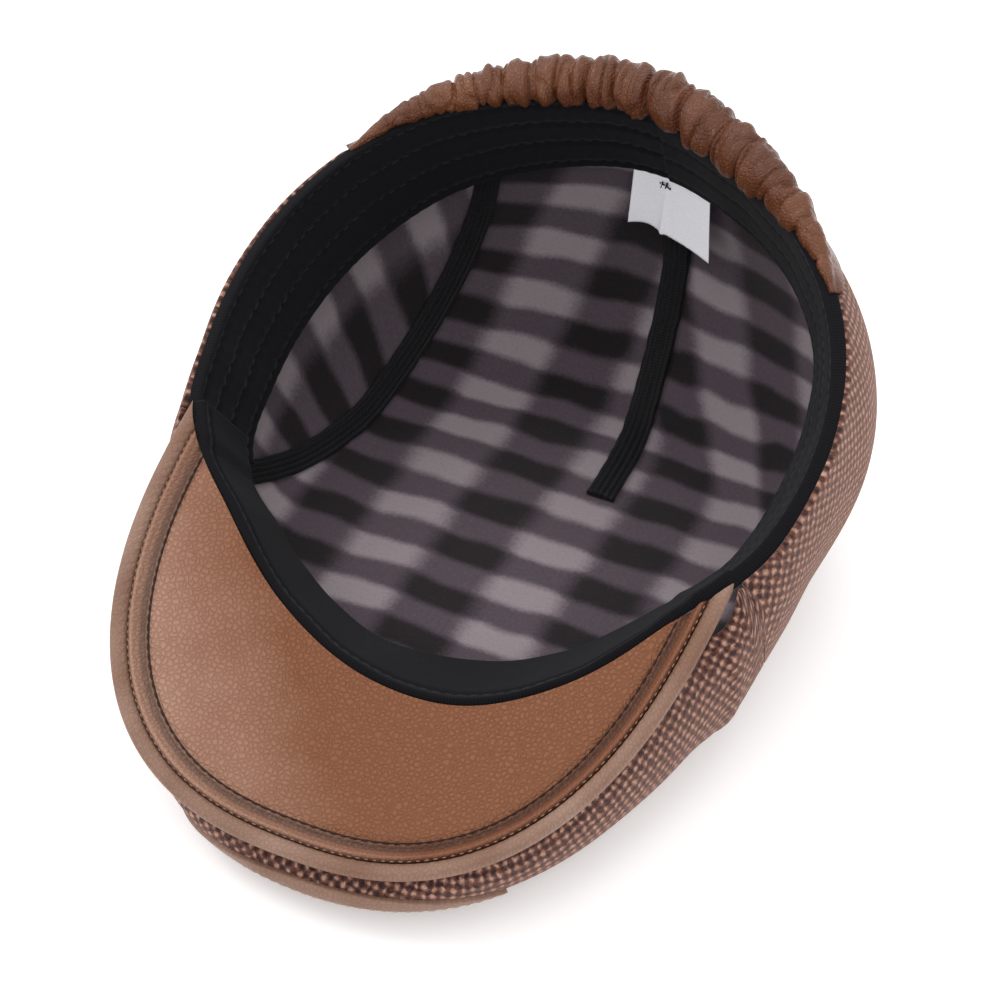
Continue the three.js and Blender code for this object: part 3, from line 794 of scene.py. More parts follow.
def plaid_material():
    """Brushed wool blend with a short nap: quite matt, with every edge of the pattern blurred."""
    material, tree = new_material("brushed_grey_plaid")
    flat = add(tree, "UVMap", uv_map="cloth")
    wander = add(tree, "TexNoise", {"Vector": flat, "Scale": 0.05, "Detail": 1.0}).outputs["Color"]
    shift = add(tree, "VectorMath", {0: wander, 1: (0.5, 0.5, 0.5)}, operation="SUBTRACT")
    shift = add(tree, "VectorMath", {0: shift, "Scale": 6.0}, operation="SCALE")
    bent = add(tree, "VectorMath", {0: flat, 1: shift}, operation="ADD")
    axis = add(tree, "SeparateXYZ", {0: bent})
    stripes = []
    for socket, pitch, start in ((0, 2 * PLAID_COLUMN_MM, 0), (1, PLAID_ROW_MM, PLAID_ROW_START_MM)):
        turn = 2 * math.pi / pitch
        phase = add(tree, "Math", {0: axis.outputs[socket], 1: turn, 2: -turn * start},
                    operation="MULTIPLY_ADD")
        wave = add(tree, "Math", {0: phase}, operation="COSINE")
        stripes.append(add(tree, "MapRange", {
            "Value": wave, "From Min": 0.6, "From Max": -0.6,
        }, interpolation_type="SMOOTHSTEP"))
    dark = add(tree, "Math", {0: stripes[0], 1: stripes[1]}, operation="ADD")
    share = add(tree, "Math", {0: dark, 1: 0.5}, operation="MULTIPLY")
    nap = add(tree, "TexNoise", {"Vector": flat, "Scale": 0.9, "Detail": 5.0, "Roughness": 0.85})
    napped = add(tree, "Math", {0: nap, 1: 0.6, 2: -0.3}, operation="MULTIPLY_ADD")
    share = add(tree, "Math", {0: share, 1: napped}, operation="ADD")
    colour = ramp(tree, share, [(0.0, "#8f8588"), (0.12, "#82787d"), (0.45, "#52484f"), (0.6, "#463d44"),
                                (0.92, "#211d1f"), (1.0, "#1a1718")])
    bump = add(tree, "Bump", {"Height": nap, "Strength": 0.6, "Distance": 0.0004})
    wool = add(tree, "BsdfPrincipled", {
        "Base Color": colour, "Roughness": 1.0, "Normal": bump, "Specular IOR Level": 0.15,
        "Sheen Weight": 0.25, "Sheen Roughness": 0.6, "Sheen Tint": linear("#b9adb2"),
    })
    finish_material(tree, wool)
    return material


plaid = plaid_material()
print("plaid, mm:", PLAID_COLUMN_MM, PLAID_ROW_MM)

# %% [markdown]
# ## Lining
# The lining is a second, smaller crown inside the tweed. A dart at the back takes cloth out of it,
# so the plaid's columns lean together up the back wall. Its flat layout is worked out by rule:
# columns are counted from the dart's line, with the cloth that the dart swallowed added, and rows
# are counted along the line from front to back.

# %% Lining pieces
DART_X = 10.0
LINING_TOP = 0.2
PROFILE_MIDDLE = (0.0, 70.0)
SIDE_PLAID_MIDDLE = 250
SIDE_PLAID_RADIUS = 88
SIDE_PLAID_DEPTH = 125
SIDE_PLAID_TURN = math.radians(-12)
DART_LOSS_LEFT = 17
DART_LOSS_RIGHT = 40


def profile_lengths():
    shares = np.linspace(0.02, 1, 200)
    back_line = lining_surface(180.0, shares)
    front_line = lining_surface(0.0, shares)[::-1]
    line = np.concatenate([front_line[::-1], back_line[::-1][1:]])[:, 1:]
    turn = np.unwrap(np.arctan2(line[:, 0] - PROFILE_MIDDLE[0], PROFILE_MIDDLE[1] - line[:, 1]))
    run = arc_lengths(line[:, None, :], 0)[:, 0]
    floor_at = np.interp(0.0, turn, run)
    return turn, run - floor_at


PROFILE_TURN, PROFILE_RUN = profile_lengths()


def plaid_layout(points, deg, share):
    """Columns from the dart and rows from the front, with the cloth that the dart took added."""
    x, y, z = points[..., 0], points[..., 1], points[..., 2]
    across = x - DART_X
    wall = smooth_step((y - 15) / 40)
    lost_left = DART_LOSS_LEFT * np.clip(z / 70, 0, 2) ** 1.7
    lost_right = DART_LOSS_RIGHT * (1 - np.exp(-z / 30))
    lost = np.where(across > 0, lost_right, lost_left) * wall
    u = across + lost * np.tanh(across / 3)
    turn = np.arctan2(y - PROFILE_MIDDLE[0], PROFILE_MIDDLE[1] - z)
    v = np.interp(turn, PROFILE_TURN, PROFILE_RUN)
    return np.stack([u, v], -1)


def lining_top_line(deg):
    seam = np.where(wrap(deg) < 0, seam_share(deg), 0)
    return np.maximum(LINING_TOP, np.where(seam > 0, seam + 0.003, 0))


def lining_folds(points):
    """Slack cloth: shallow folds down the wall, none where it lies on the floor."""
    wall = smooth_step(points[..., 2] / 25)
    return wall * 0.8 * ripples(points[..., 0], points[..., 1] + points[..., 2] * 0.3, 24, 9)


def side_layout(points, deg, share):
    """The side panel's own cloth: along the rim and down the wall, turned a little."""
    along = np.radians(deg - SIDE_PLAID_MIDDLE) * SIDE_PLAID_RADIUS
    down = share * SIDE_PLAID_DEPTH
    c, s = math.cos(SIDE_PLAID_TURN), math.sin(SIDE_PLAID_TURN)
    return np.stack([along * s + down * c, along * c - down * s], -1)


def lining_panel(name, degs, top, bottom, v, thick, lay_out, ring):
    share = panel_share(top, bottom, v)
    grid_deg = degs[:, None] + 0 * v
    base = lining_surface(grid_deg, share)
    layout = lay_out(base, grid_deg, share)
    if ring:
        layout = np.concatenate([layout, layout[:1]])
    middle = (LINING_NEAR + LINING_FAR) / 2 + lining_folds(base)
    half = LINING_THICKNESS / 2 * thick
    faces = [inset(lining_surface, grid_deg, share, middle + side * half) for side in (-1, 1)]
    return closed_sheet(name, *faces, layout, ring, plaid)


v = rows_across(70, 0.01, both=False)
lining_top = lining_panel(
    "lining_top_panel", all_degs, lining_top_line(all_degs), np.ones(len(all_degs)), v,
    rounded(np.minimum(v, 0.5), 0.01), plaid_layout, True,
)
side_degs = left_degs[seam_share(left_degs) > LINING_TOP + 0.03]
v = rows_across(40, 0.02)
lining_left = lining_panel(
    "lining_side_panel_left", side_degs, np.full(len(side_degs), LINING_TOP), seam_share(side_degs) - 0.003,
    v, rounded(v, 0.02), side_layout, False,
)
put_on(lining_top, "lining_top")
put_on(lining_left, "lining_side_left")

# %% [markdown]
# ## Black twill for the bands, and ribbed tape
# The sweatband is a matt black cotton twill. Its diagonal ribs are about half a millimetre apart,
# drawn at 0.9 mm here so that they still show. The seam tapes are woven with ribs along them,
# which are part of their mesh, and only a fine crosswise thread is left to the material.

# %% Twill and tape materials
TWILL_RIB_MM = 0.9


def twill_material(name, colour, light, slant, roughness):
    """Dyed cotton, woven in ribs: matt and nearly black, with painted shade in the grooves and the rib tops
    painted a little lighter.
    """
    material, tree = new_material(name)
    flat = add(tree, "UVMap", uv_map="cloth")
    axis = add(tree, "SeparateXYZ", {0: flat})
    diagonal = add(tree, "Math", {0: axis.outputs[1], 1: slant, 2: axis.outputs[0]},
                   operation="MULTIPLY_ADD")
    phase = add(tree, "Math", {0: diagonal, 1: 2 * math.pi / TWILL_RIB_MM}, operation="MULTIPLY")
    rib = add(tree, "Math", {0: phase}, operation="SINE")
    fuzz = add(tree, "TexNoise", {"Vector": flat, "Scale": 1.6, "Detail": 4.0, "Roughness": 0.7})
    height = add(tree, "Math", {0: rib, 1: 0.3, 2: fuzz}, operation="MULTIPLY_ADD")
    # Painted shade and highlight: the colour follows the rib height, darker in the grooves and lighter on
    # the rib tops.
    share = add(tree, "MapRange", {"Value": height, "From Min": 0.1, "From Max": 0.95})
    tone = ramp(tree, share, [(0.0, colour), (1.0, light)])
    bump = add(tree, "Bump", {"Height": height, "Strength": 0.5, "Distance": 0.0002})
    cotton = add(tree, "BsdfPrincipled", {
        "Base Color": tone, "Roughness": roughness, "Normal": bump,
        "Specular IOR Level": 0.15, "Sheen Weight": 0.04, "Sheen Roughness": 0.5,
    })
    finish_material(tree, cotton)
    return material


twill = twill_material("black_cotton_twill", "#08080b", "#121217", 1.0, 0.95)
tape_weave = twill_material("black_ribbed_tape", "#0c0c0e", "#1e1e21", 0.1, 0.55)
print("twill rib, mm:", TWILL_RIB_MM)

# %% Tapes over the lining's seams
TAPE_THICKNESS = 1.3
TAPE_EASE = 1.2
TAPE_RIBS = 4.5
DART_DEGS = [176.5, 174.5, 173.5, 172, 166.5]
DART_START_SHARE = 0.2
DART_END_SHARE = 0.82
SEAM_TAPE_WIDTH = 7.4
DART_TAPE_WIDTH = 8.4


def tape(name, degs, shares, width):
    """A domed ribbon with ribs along it, laid on the lining along a path."""
    path = inset(lining_surface, degs, shares, LINING_FAR + TAPE_EASE)
    normal = inward_normal(lining_surface, degs, shares)
    tangent = np.gradient(path, axis=0)
    tangent /= np.linalg.norm(tangent, axis=-1, keepdims=True)
    across = np.cross(normal, tangent)
    v = np.linspace(0, 1, 61)
    run = arc_lengths(path[:, None, :], 0)[:, 0]
    ribs = 0.5 - 0.5 * np.cos(2 * np.pi * v * TAPE_RIBS + 0.4)
    dome = TAPE_THICKNESS * (0.35 + 0.65 * np.sin(np.pi * v) ** 0.5) * (0.7 + 0.45 * ribs ** 0.7)
    wobble = 0.25 * ripples(run[:, None], 9 * v[None, :], 9, 12)
    edge = width * (v - 0.5)[None, :] * (1 + 0.035 * ripples(run[:, None], 40 * (v[None, :] > 0.5), 7, 3))
    base = path[:, None] + across[:, None] * edge[..., None]
    top = base + normal[:, None] * (dome[None, :] + wobble * np.sin(np.pi * v))[..., None]
    low = base - normal[:, None] * 0.9
    cloth = np.stack(np.broadcast_arrays(run[:, None] + 0 * v, width * v[None, :] + 0 * run[:, None]), -1)
    return closed_sheet(name, top, low, cloth, False, tape_weave)


seam_degs = -np.linspace(BILL_CORNER + 6, PANEL_END, 260)
seam_tape = tape("seam_tape_left_side", seam_degs, seam_share(seam_degs), SEAM_TAPE_WIDTH)
dart_u = np.linspace(0, 4, 200)
dart_degs = np.polyval(np.polyfit(np.arange(5), DART_DEGS, 3), dart_u)
dart_shares = np.linspace(DART_START_SHARE, DART_END_SHARE, 200)
dart_tape = tape("seam_tape_over_dart", dart_degs, dart_shares, DART_TAPE_WIDTH)
put_on(seam_tape, "seam_tape_left")
put_on(dart_tape, "seam_tape_dart")

# %% [markdown]
# ## Sweatband
# The band that touches the head hangs from the rim and leans inwards. It is quilted by rows of
# stitches along it: each row pulls a valley into the cloth, with small puckers beside it. At the
# middle of the back its two ends meet in a lapped seam, and towards the right corner it runs
# smoother, with a few slack folds.

# %% Bands
BAND_ROWS = (2.2, 10.5, 19.5, 29.2)
BAND_JOIN_DEG = 176.0
QUILT_HEIGHT = 0.75
PUCKER_HEIGHT = 0.16
PUCKER_PITCH = 4.6
SLACK_HEIGHT = 0.5
LAP_HEIGHT = 0.9
BAND_EDGE_ROLL = 1.9
EDGE_ROLL_WIDTH = 1.8
VALLEY_WIDTH = 1.0
PUCKER_WIDTH = 2.6
BAND_RUN_RADIUS = 90
FRONT_RUN_RADIUS = 88
BAND_END_DEG = 62
FRONT_BAND_WIDTH = 26.0
FRONT_ROW = 3.2
FRONT_END_LIFT = 1.2


def band_swell(deg, depth):
    """How far the band's face stands out: pillows between the rows, puckers, and the lap."""
    quilted = 0.35 + 0.65 * smooth_step((wrap(deg - BAND_JOIN_DEG) + 2) / 4)
    rows = np.array(BAND_ROWS)
    valley = hump(depth[..., None], rows, VALLEY_WIDTH).sum(-1)
    swell = QUILT_HEIGHT * quilted * (1 - valley)
    run = np.radians(deg) * BAND_RUN_RADIUS
    pucker = PUCKER_HEIGHT * np.sin(2 * np.pi * run / PUCKER_PITCH + 2 * ripples(run, depth, 14, 5))
    swell = swell + pucker * hump(depth[..., None], rows, PUCKER_WIDTH).max(-1) * quilted
    hung = np.sin(np.pi * np.clip(depth / BAND_WIDTH, 0, 1))
    slack = SLACK_HEIGHT * ripples(run, 0.35 * depth, 22, 8) * hung
    lap = LAP_HEIGHT * smooth_step((BAND_JOIN_DEG - np.mod(deg, 360)) / 0.35)
    return swell + slack + lap


def make_band(name, degs, width, base, swell, rows, edge_roll):
    v = rows_across(rows, 0.025)
    depth = width * v[None, :] + 0 * degs[:, None]
    grid_deg = degs[:, None] + 0 * v[None, :]
    thick = rounded(v, 0.025)[None, :]
    mid = base(grid_deg) + BAND_THICKNESS / 2
    inner = mid + (BAND_THICKNESS / 2 + swell(grid_deg, depth)) * thick
    outer = mid - BAND_THICKNESS / 2 * thick - edge_roll(grid_deg) * hump(depth, 0, EDGE_ROLL_WIDTH)
    cloth = np.stack([np.radians(grid_deg) * BAND_RUN_RADIUS, depth], -1)
    return closed_sheet(
        name, band_point(grid_deg, depth, inner), band_point(grid_deg, depth, outer), cloth, False, twill
    )


band_degs = np.linspace(BAND_END_DEG, 360 - BAND_END_DEG, 660)
sweatband = make_band("sweatband_quilted", band_degs, BAND_WIDTH, lambda d: 0 * d, band_swell, 64,
                      lambda d: BAND_EDGE_ROLL + 0 * d)


def front_base(deg):
    return FRONT_END_LIFT * smooth_step((np.abs(wrap(deg)) - BAND_END_DEG) / 4 + 1.6)


def front_swell(deg, depth):
    run = np.radians(deg) * FRONT_RUN_RADIUS
    stitched = 0.55 * (1 - hump(depth, FRONT_ROW, 0.9))
    return stitched + 0.3 * ripples(run, 0.4 * depth, 18, 21)


front_band = make_band(
    "front_band_twill", np.linspace(-BILL_CORNER, BILL_CORNER, 420), FRONT_BAND_WIDTH, front_base,
    front_swell, 48, lambda d: front_base(d) + 0.5,
)
put_on(sweatband, "sweatband")
put_on(front_band, "front_band")

# %% [markdown]
# ## Leather
# The bill is faced with a pebbled brown leather. Tanned hide is a pattern of small cells about
# 1.5 mm wide with fine creases between them, and a Voronoi pattern gives both. Its colour goes from
# orange brown to a paler tan, in soft clouds and in a painted sheen that pales it towards the left
# and the front, as if lit by the lamp at the left; the creases are painted darker, as shade. The
# edges and the gathered casing are the same hide with a finer grain: the edges are painted paler and
# pinker, as the sheen of light on the rolled binding, and the casing is more glossy.

# %% Leather materials
LINES_SPAN_MM = 12.0


def leather_grain(tree, flat, cell_mm):
    """How far up each cell a point lies, from 0 in a crease to 1, and the height with its pores."""
    wander = add(tree, "TexNoise", {"Vector": flat, "Scale": 0.7 / cell_mm, "Detail": 2.0})
    bend = add(tree, "VectorMath", {0: wander.outputs["Color"], "Scale": 0.8 * cell_mm}, operation="SCALE")
    bent = add(tree, "VectorMath", {0: flat, 1: bend}, operation="ADD")
    cells = add(tree, "TexVoronoi", {"Vector": bent, "Scale": 1 / cell_mm},
                feature="DISTANCE_TO_EDGE", voronoi_dimensions="2D")
    cell = add(tree, "MapRange", {"Value": cells, "From Max": 0.3}, interpolation_type="SMOOTHSTEP")
    pores = add(tree, "TexNoise", {"Vector": flat, "Scale": 2.4 / cell_mm, "Detail": 3.0})
    return cell, add(tree, "Math", {0: pores, 1: 0.25, 2: cell}, operation="MULTIPLY_ADD")


def leather_clouds_and_sheen(tree, flat, painted_sheen_drift, tint_range, cloudy):
    """Where the hide is pale: soft clouds of random tone, and painted sheen that drifts across the cap,
    given per metre of x and y.
    """
    clouds = add(tree, "TexNoise", {"Vector": flat, "Scale": 0.035, "Detail": 2.0})
    lean = add(tree, "Math", {0: clouds, 1: cloudy}, operation="MULTIPLY")
    # Painted sheen: the drift along x and y makes the hide paler towards one side.
    axis = add(tree, "SeparateXYZ", {0: add(tree, "TexCoord").outputs["Object"]})
    for k in (0, 1):
        lean = add(tree, "Math", {0: axis.outputs[k], 1: painted_sheen_drift[k], 2: lean}, operation="MULTIPLY_ADD")
    return add(tree, "MapRange", {"Value": lean, "From Min": tint_range[0], "From Max": tint_range[1]})


def leather_material(name, dark, base, pale, cell_mm, relief, roughness, painted_sheen_drift=(0.0, 0.0), coat=0.0,
                     tint_range=(0.35, 0.75), shade_lines=None, shine=0.25, cloudy=1.0):
    """Pebbled hide, with painted shade darkening the creases between its cells; lines give more painted
    shade, darker tones at distances inside the bill's edge.
    """
    material, tree = new_material(name)
    flat = add(tree, "UVMap", uv_map="cloth")
    cell, height = leather_grain(tree, flat, cell_mm)
    body = ramp(tree, leather_clouds_and_sheen(tree, flat, painted_sheen_drift, tint_range, cloudy), [(0.0, base), (1.0, pale)])
    # Painted shade: the creases between the cells are mixed towards the dark colour.
    crease = add(tree, "MapRange", {"Value": cell, "To Min": 0.2, "To Max": 0.0})
    colour = add(tree, "Mix", {0: crease, 6: body, 7: linear(dark)}, data_type="RGBA").outputs[2]
    # Painted shade: darker tones are multiplied into the colour at given distances inside the bill's edge.
    if shade_lines:
        inside = add(tree, "SeparateXYZ", {0: flat}).outputs[1]
        across = add(tree, "Math", {0: inside, 1: 1 / LINES_SPAN_MM}, operation="MULTIPLY")
        shade = ramp(tree, across, [(place / LINES_SPAN_MM, tone) for place, tone in shade_lines])
        colour = add(tree, "Mix", {0: 1.0, 6: colour, 7: shade}, data_type="RGBA",
                     blend_type="MULTIPLY").outputs[2]
    bump = add(tree, "Bump", {"Height": height, "Strength": relief, "Distance": 0.0003})
    hide = add(tree, "BsdfPrincipled", {
        "Base Color": colour, "Roughness": roughness, "Normal": bump,
        "Specular IOR Level": shine, "Coat Weight": coat, "Coat Roughness": 0.35,
    })
    finish_material(tree, hide)
    return material


# Painted sheen: the facing is paler towards the left and the front, as if lit by the lamp at the left.
pebbled = leather_material("pebbled_cowhide", "#4a2a18", "#7c4c30", "#b08a77", 1.5, 0.8, 0.45,
                           painted_sheen_drift=(-2.6, -2.4), tint_range=(0.33, 0.52), cloudy=0.12)
# Painted shade on the border: dark in the seam beside the binding, darker in the groove and at the stitch
# line; the ridge is left unshaded.
border_hide = leather_material(
    "pebbled_cowhide_border_painted_shade", "#4a2a18", "#80513a", "#a98472", 1.3, 0.5, 0.4,
    painted_sheen_drift=(-2.6, -2.4), tint_range=(0.25, 0.52), cloudy=0.12,
    shade_lines=[(4.6, "#6a6a6a"), (5.1, "#a0a0a0"), (5.7, "#ffffff"), (7.4, "#f4f4f4"), (8.4, "#b8b8b8"),
           (9.4, "#a8a8a8"), (10.0, "#d8d8d8"), (10.45, "#5a5a5a"), (10.8, "#565656")],
)
# Painted sheen: this hide, on the binding and on the strip below the bill, is paler and pinker than the
# facing, for the light on the rolled edge.
edge_hide = leather_material("edge_cowhide_painted_sheen", "#4c3022", "#7c5b4a", "#987b6c", 1.3, 0.35, 0.48)
gathered_hide = leather_material("gathered_cowhide", "#1f0e07", "#592d17", "#754629", 1.5, 0.6, 0.28,
                                 coat=0.08, shine=0.35)
print("leathers:", [m.name for m in (pebbled, edge_hide, gathered_hide)])

# %% [markdown]
# ## Bill
# The bill is a stiff board faced with leather, with a padded border stitched round it and a rolled
# binding over its edge. All three are strips between two distances inside the bill's outline. The
# board is widest; the border dips to a groove; the binding is a half round with a small pucker at
# each stitch.

# %% Bill strips
PUCKER_STEP_MM = 3.1
ROLL_RADIUS = 2.1
ROLL_SUNK = 1.4
BORDER_HUMPS = [
    # height in mm, place across the border, width
    (1.15, 0.22, 0.15), (-1.0, 0.66, 0.2), (-0.5, 0.0, 0.06), (-0.5, 1.0, 0.06),
]


def corner_angle(side, inside_edge, spare):
    """Angle at which a line inside the bill's edge runs into the rim, found by halving."""
    near, far = 0.0, BILL_CORNER + 6
    for _ in range(HALVINGS):
        half_way = (near + far) / 2
        deg = np.array(side * half_way)
        if bill_depth(deg) - inside_edge * edge_stretch(deg) > spare:
            near = half_way
        else:
            far = half_way
    return side * near


def bill_strip(name, outer, inner, columns, v, above, below, material):
    """A strip of the bill between two distances inside its edge."""
    degs = bunched(corner_angle(-1, outer, 0.1), corner_angle(1, outer, 0.1), columns)
    depth, stretch = bill_depth(degs), edge_stretch(degs)
    start = np.maximum(GAP, depth - inner * stretch)
    end = np.maximum(start + 0.6, depth - outer * stretch)
    out = start[:, None] + (end - start)[:, None] * v[None, :]
    grid_deg = degs[:, None] + 0 * v[None, :]
    inside = (depth[:, None] - out) / stretch[:, None]
    run = arc_lengths(bill_point(degs, end, 0 * end)[:, None, :], 0)
    level = bill_point(grid_deg, out, 0 * out)
    cloth = level[..., :2] if outer > BINDING_WIDTH + 2 else np.stack(
        np.broadcast_arrays(run, inside), -1
    )
    top = bill_point(grid_deg, out, above(inside, run + 0 * out, grid_deg))
    low = bill_point(grid_deg, out, -below(inside) + 0 * out)
    return closed_sheet(name, top, low, cloth, False, material)


def board_rise(inside, run, deg):
    edge = inside - BINDING_WIDTH - BORDER_WIDTH
    pillow = 0.55 * smooth_step(edge / 5) - 0.5 * hump(edge, 0, 0.9)
    return pillow + 0.35 * ripples(inside, run * 0.6, 30, 14)


def border_rise(inside, run, deg):
    t = np.clip((inside - BINDING_WIDTH) / BORDER_WIDTH, 0, 1)
    padded = sum(height * hump(t, place, width) for height, place, width in BORDER_HUMPS)
    pucker = 0.12 * np.sin(2 * np.pi * run / PUCKER_STEP_MM) * hump(t, 0.12, 0.2)
    return padded + pucker + 0.12 * ripples(run, inside * 2, 12, 31)


def roll(inside, run):
    t = np.clip(inside / BINDING_WIDTH, 0, 1)
    round_over = np.sqrt(np.maximum(0, 1 - (2 * t - 1) ** 2))
    pucker = 1 + 0.07 * np.sin(2 * np.pi * run / PUCKER_STEP_MM) * smooth_step((t - 0.35) / 0.4)
    uneven = 1 + 0.05 * ripples(run, inside, 16, 17)
    return ROLL_RADIUS * (0.12 + 0.88 * round_over) * pucker * uneven


bill_board = bill_strip(
    "bill_facing", BINDING_WIDTH + BORDER_WIDTH, 130.0, 300, rows_across(90, 0.01), board_rise,
    lambda inside: BILL_THICKNESS, pebbled,
)
bill_border = bill_strip(
    "bill_padded_border", BINDING_WIDTH, BINDING_WIDTH + BORDER_WIDTH, 900, np.linspace(0, 1, 34),
    border_rise, lambda inside: BILL_THICKNESS, border_hide,
)
bill_binding = bill_strip(
    "bill_rolled_binding", 0.0, BINDING_WIDTH, 900,
    (1 - np.cos(np.pi * np.linspace(0, 1, 30))) / 2,
    lambda inside, run, deg: roll(inside, run) - ROLL_SUNK,
    lambda inside: roll(inside, 0 * inside) + 1.6, edge_hide,
)
put_on(bill_board, "bill_underside")
put_on(bill_border, "bill_border")
put_on(bill_binding, "bill_binding")

# %% Leather strip below the bill
STRIP_MIDDLE_DEG = 4
STRIP_HALF_DEG = 19
STRIP_STITCHES_AT = 0.85


def strip_share(degs, v):
    along = (degs[:, None] - STRIP_MIDDLE_DEG) / STRIP_HALF_DEG
    return 0.15 + 0.17 * along**2 + 0.17 * (1 - 0.6 * along**2) * v[None, :]


degs = np.linspace(STRIP_MIDDLE_DEG - STRIP_HALF_DEG, STRIP_MIDDLE_DEG + STRIP_HALF_DEG, 320)
v = rows_across(30, 0.06)
share = strip_share(degs, v)
grid_deg = degs[:, None] + 0 * v
base = crown_surface(grid_deg, share)
lift = 0.1 + 1.2 * rounded(v, 0.06)[None, :] - 0.35 * hump(v, STRIP_STITCHES_AT, 0.06)[None, :]
front_strip = closed_sheet(
    "front_strip_leather", inset(crown_surface, grid_deg, share, -lift),
    inset(crown_surface, grid_deg, share, 0.1 + 0 * lift), base[..., [0, 2]], False, edge_hide,
)
put_on(front_strip, "front_strip")

# %% [markdown]
# ## Gathered casing
# At the back an elastic band runs inside a leather casing and gathers it. The folds are uneven:
# plump ridges with sharp creases between them, and they lean. A short table says where each ridge
# crosses the rim and where it crosses the top, how plump it is, and the casing narrows to a point
# at both ends. Finer wrinkles run over the ridges.

# %% Folds of the casing
CASING_RADIUS = 8.2
TUBE_OUT = 3.4
TUBE_RISE = 3.0
TUBE_START_DEG = 205
TUBE_TURN_DEG = 235
TUBE_END = 0.72
DROOP_IN = 1.5
DROOP_DOWN = 4.5
RUN_PER_DEG = 1.57
CASING_RUN_RADIUS = 95
CASING_RIDGES = [
    # angle at the rim, angle over the top, plumpness
    (129.0, 128.0, 0.5), (136.0, 134.5, 0.65), (142.2, 141.2, 0.95), (153.0, 151.0, 1.0),
    (159.0, 158.8, 0.85), (165.5, 167.4, 1.0), (174.1, 175.6, 1.0), (180.9, 182.2, 0.95),
    (187.3, 187.4, 1.0), (192.6, 192.5, 0.88), (197.5, 197.8, 0.92), (203.1, 203.3, 1.0),
    (208.0, 208.4, 0.8), (212.4, 212.2, 0.9), (218.0, 217.6, 0.75), (223.5, 222.0, 0.65),
    (229.5, 228.5, 0.5),
]


def casing_fold(deg, v):
    """Height of the gathers from 0 in a crease to 1 on a plump ridge."""
    rows = np.array(CASING_RIDGES)
    lean = rows[:, 0] + (rows[:, 1] - rows[:, 0]) * v[..., None]
    lean = lean + 1.1 * ripples(deg * 1.5, v * 9, 11, 40)[..., None]
    off = np.abs(deg[..., None] - lean)
    order = np.argsort(off, axis=-1)
    first = np.take_along_axis(off, order[..., :1], -1)[..., 0]
    second = np.take_along_axis(off, order[..., 1:2], -1)[..., 0]
    plump = np.take_along_axis(np.broadcast_to(rows[:, 2], off.shape), order[..., :1], -1)[..., 0]
    away = first / np.maximum(1e-6, (first + second) / 2)
    return plump * (1 - np.clip(away, 0, 1) ** 3.2) ** 0.6


half = ELASTIC_HALF - 0.6
degs = np.linspace(180 - half, 180 + half, 760)
v = np.linspace(0, 1, 64)
grid_deg, grid_v = np.meshgrid(degs, v, indexing="ij")
narrow = np.clip(np.cos(np.pi / 2 * (grid_deg - 180) / ELASTIC_HALF), 0, 1)
plump = np.maximum(0.12, narrow ** 0.75)
fold = casing_fold(grid_deg, grid_v)
along = grid_deg * RUN_PER_DEG
wrinkle = (0.05 * ripples(along, grid_v * 16, 2.6, 50, 16) + 0.09 * ripples(along, grid_v * 11, 5.0, 51, 14)
           - 0.13 * hump(ripples(along, grid_v * 12, 7.0, 53, 12), 0, 0.2))
radius = CASING_RADIUS * plump * (0.72 + 0.3 * fold + wrinkle)
turn = np.radians(TUBE_START_DEG - TUBE_TURN_DEG * np.minimum(1, grid_v / TUBE_END))
droop = smooth_step((174 - grid_deg) / 16) * plump * fold * hump(grid_v, 0, 0.16)
out = TUBE_OUT * plump + radius * np.cos(turn) - DROOP_IN * droop
rise = TUBE_RISE * plump + radius * np.sin(turn) - DROOP_DOWN * droop
tube = off_rim(grid_deg, out, rise)
skirt = inset(crown_surface, grid_deg, elastic_share(grid_deg) * grid_v ** 1.2,
              -0.5 - 2.2 * plump * fold * (1 - grid_v))
meet = smooth_step((grid_v - 0.5) / 0.5)[..., None]
face = tube * (1 - meet) + skirt * meet
inner = inset(crown_surface, grid_deg, elastic_share(grid_deg) * grid_v, TWEED_THICKNESS)
run = np.radians(grid_deg) * CASING_RUN_RADIUS
cloth = np.stack([run * 1.5, arc_lengths(face, 1)], -1)
casing = closed_sheet("gathered_casing", face, inner, cloth, False, gathered_hide)
put_on(casing, "elastic_back")

# %% [markdown]
# ## Care label
# A white satin label is caught under the band's lower edge. It is left blank. One crease runs down
# it, and its right end curls away from the wall. Satin is smooth, so it shows a faint weave only.

# %% Label
def satin_material():
    """Polyester satin ribbon: white and smooth, with half a gloss."""
    material, tree = new_material("white_satin_ribbon")
    flat = add(tree, "UVMap", uv_map="cloth")
    threads = add(tree, "TexNoise", {"Vector": flat, "Scale": 1.4, "Detail": 2.0})
    tone = ramp(tree, threads, [(0.3, "#eeedf2"), (0.7, "#f6f5f9")])
    bump = add(tree, "Bump", {"Height": threads, "Strength": 0.15, "Distance": 0.0002})
    satin = add(tree, "BsdfPrincipled", {
        "Base Color": tone, "Roughness": 0.5, "Normal": bump,
    })
    finish_material(tree, satin)
    return material


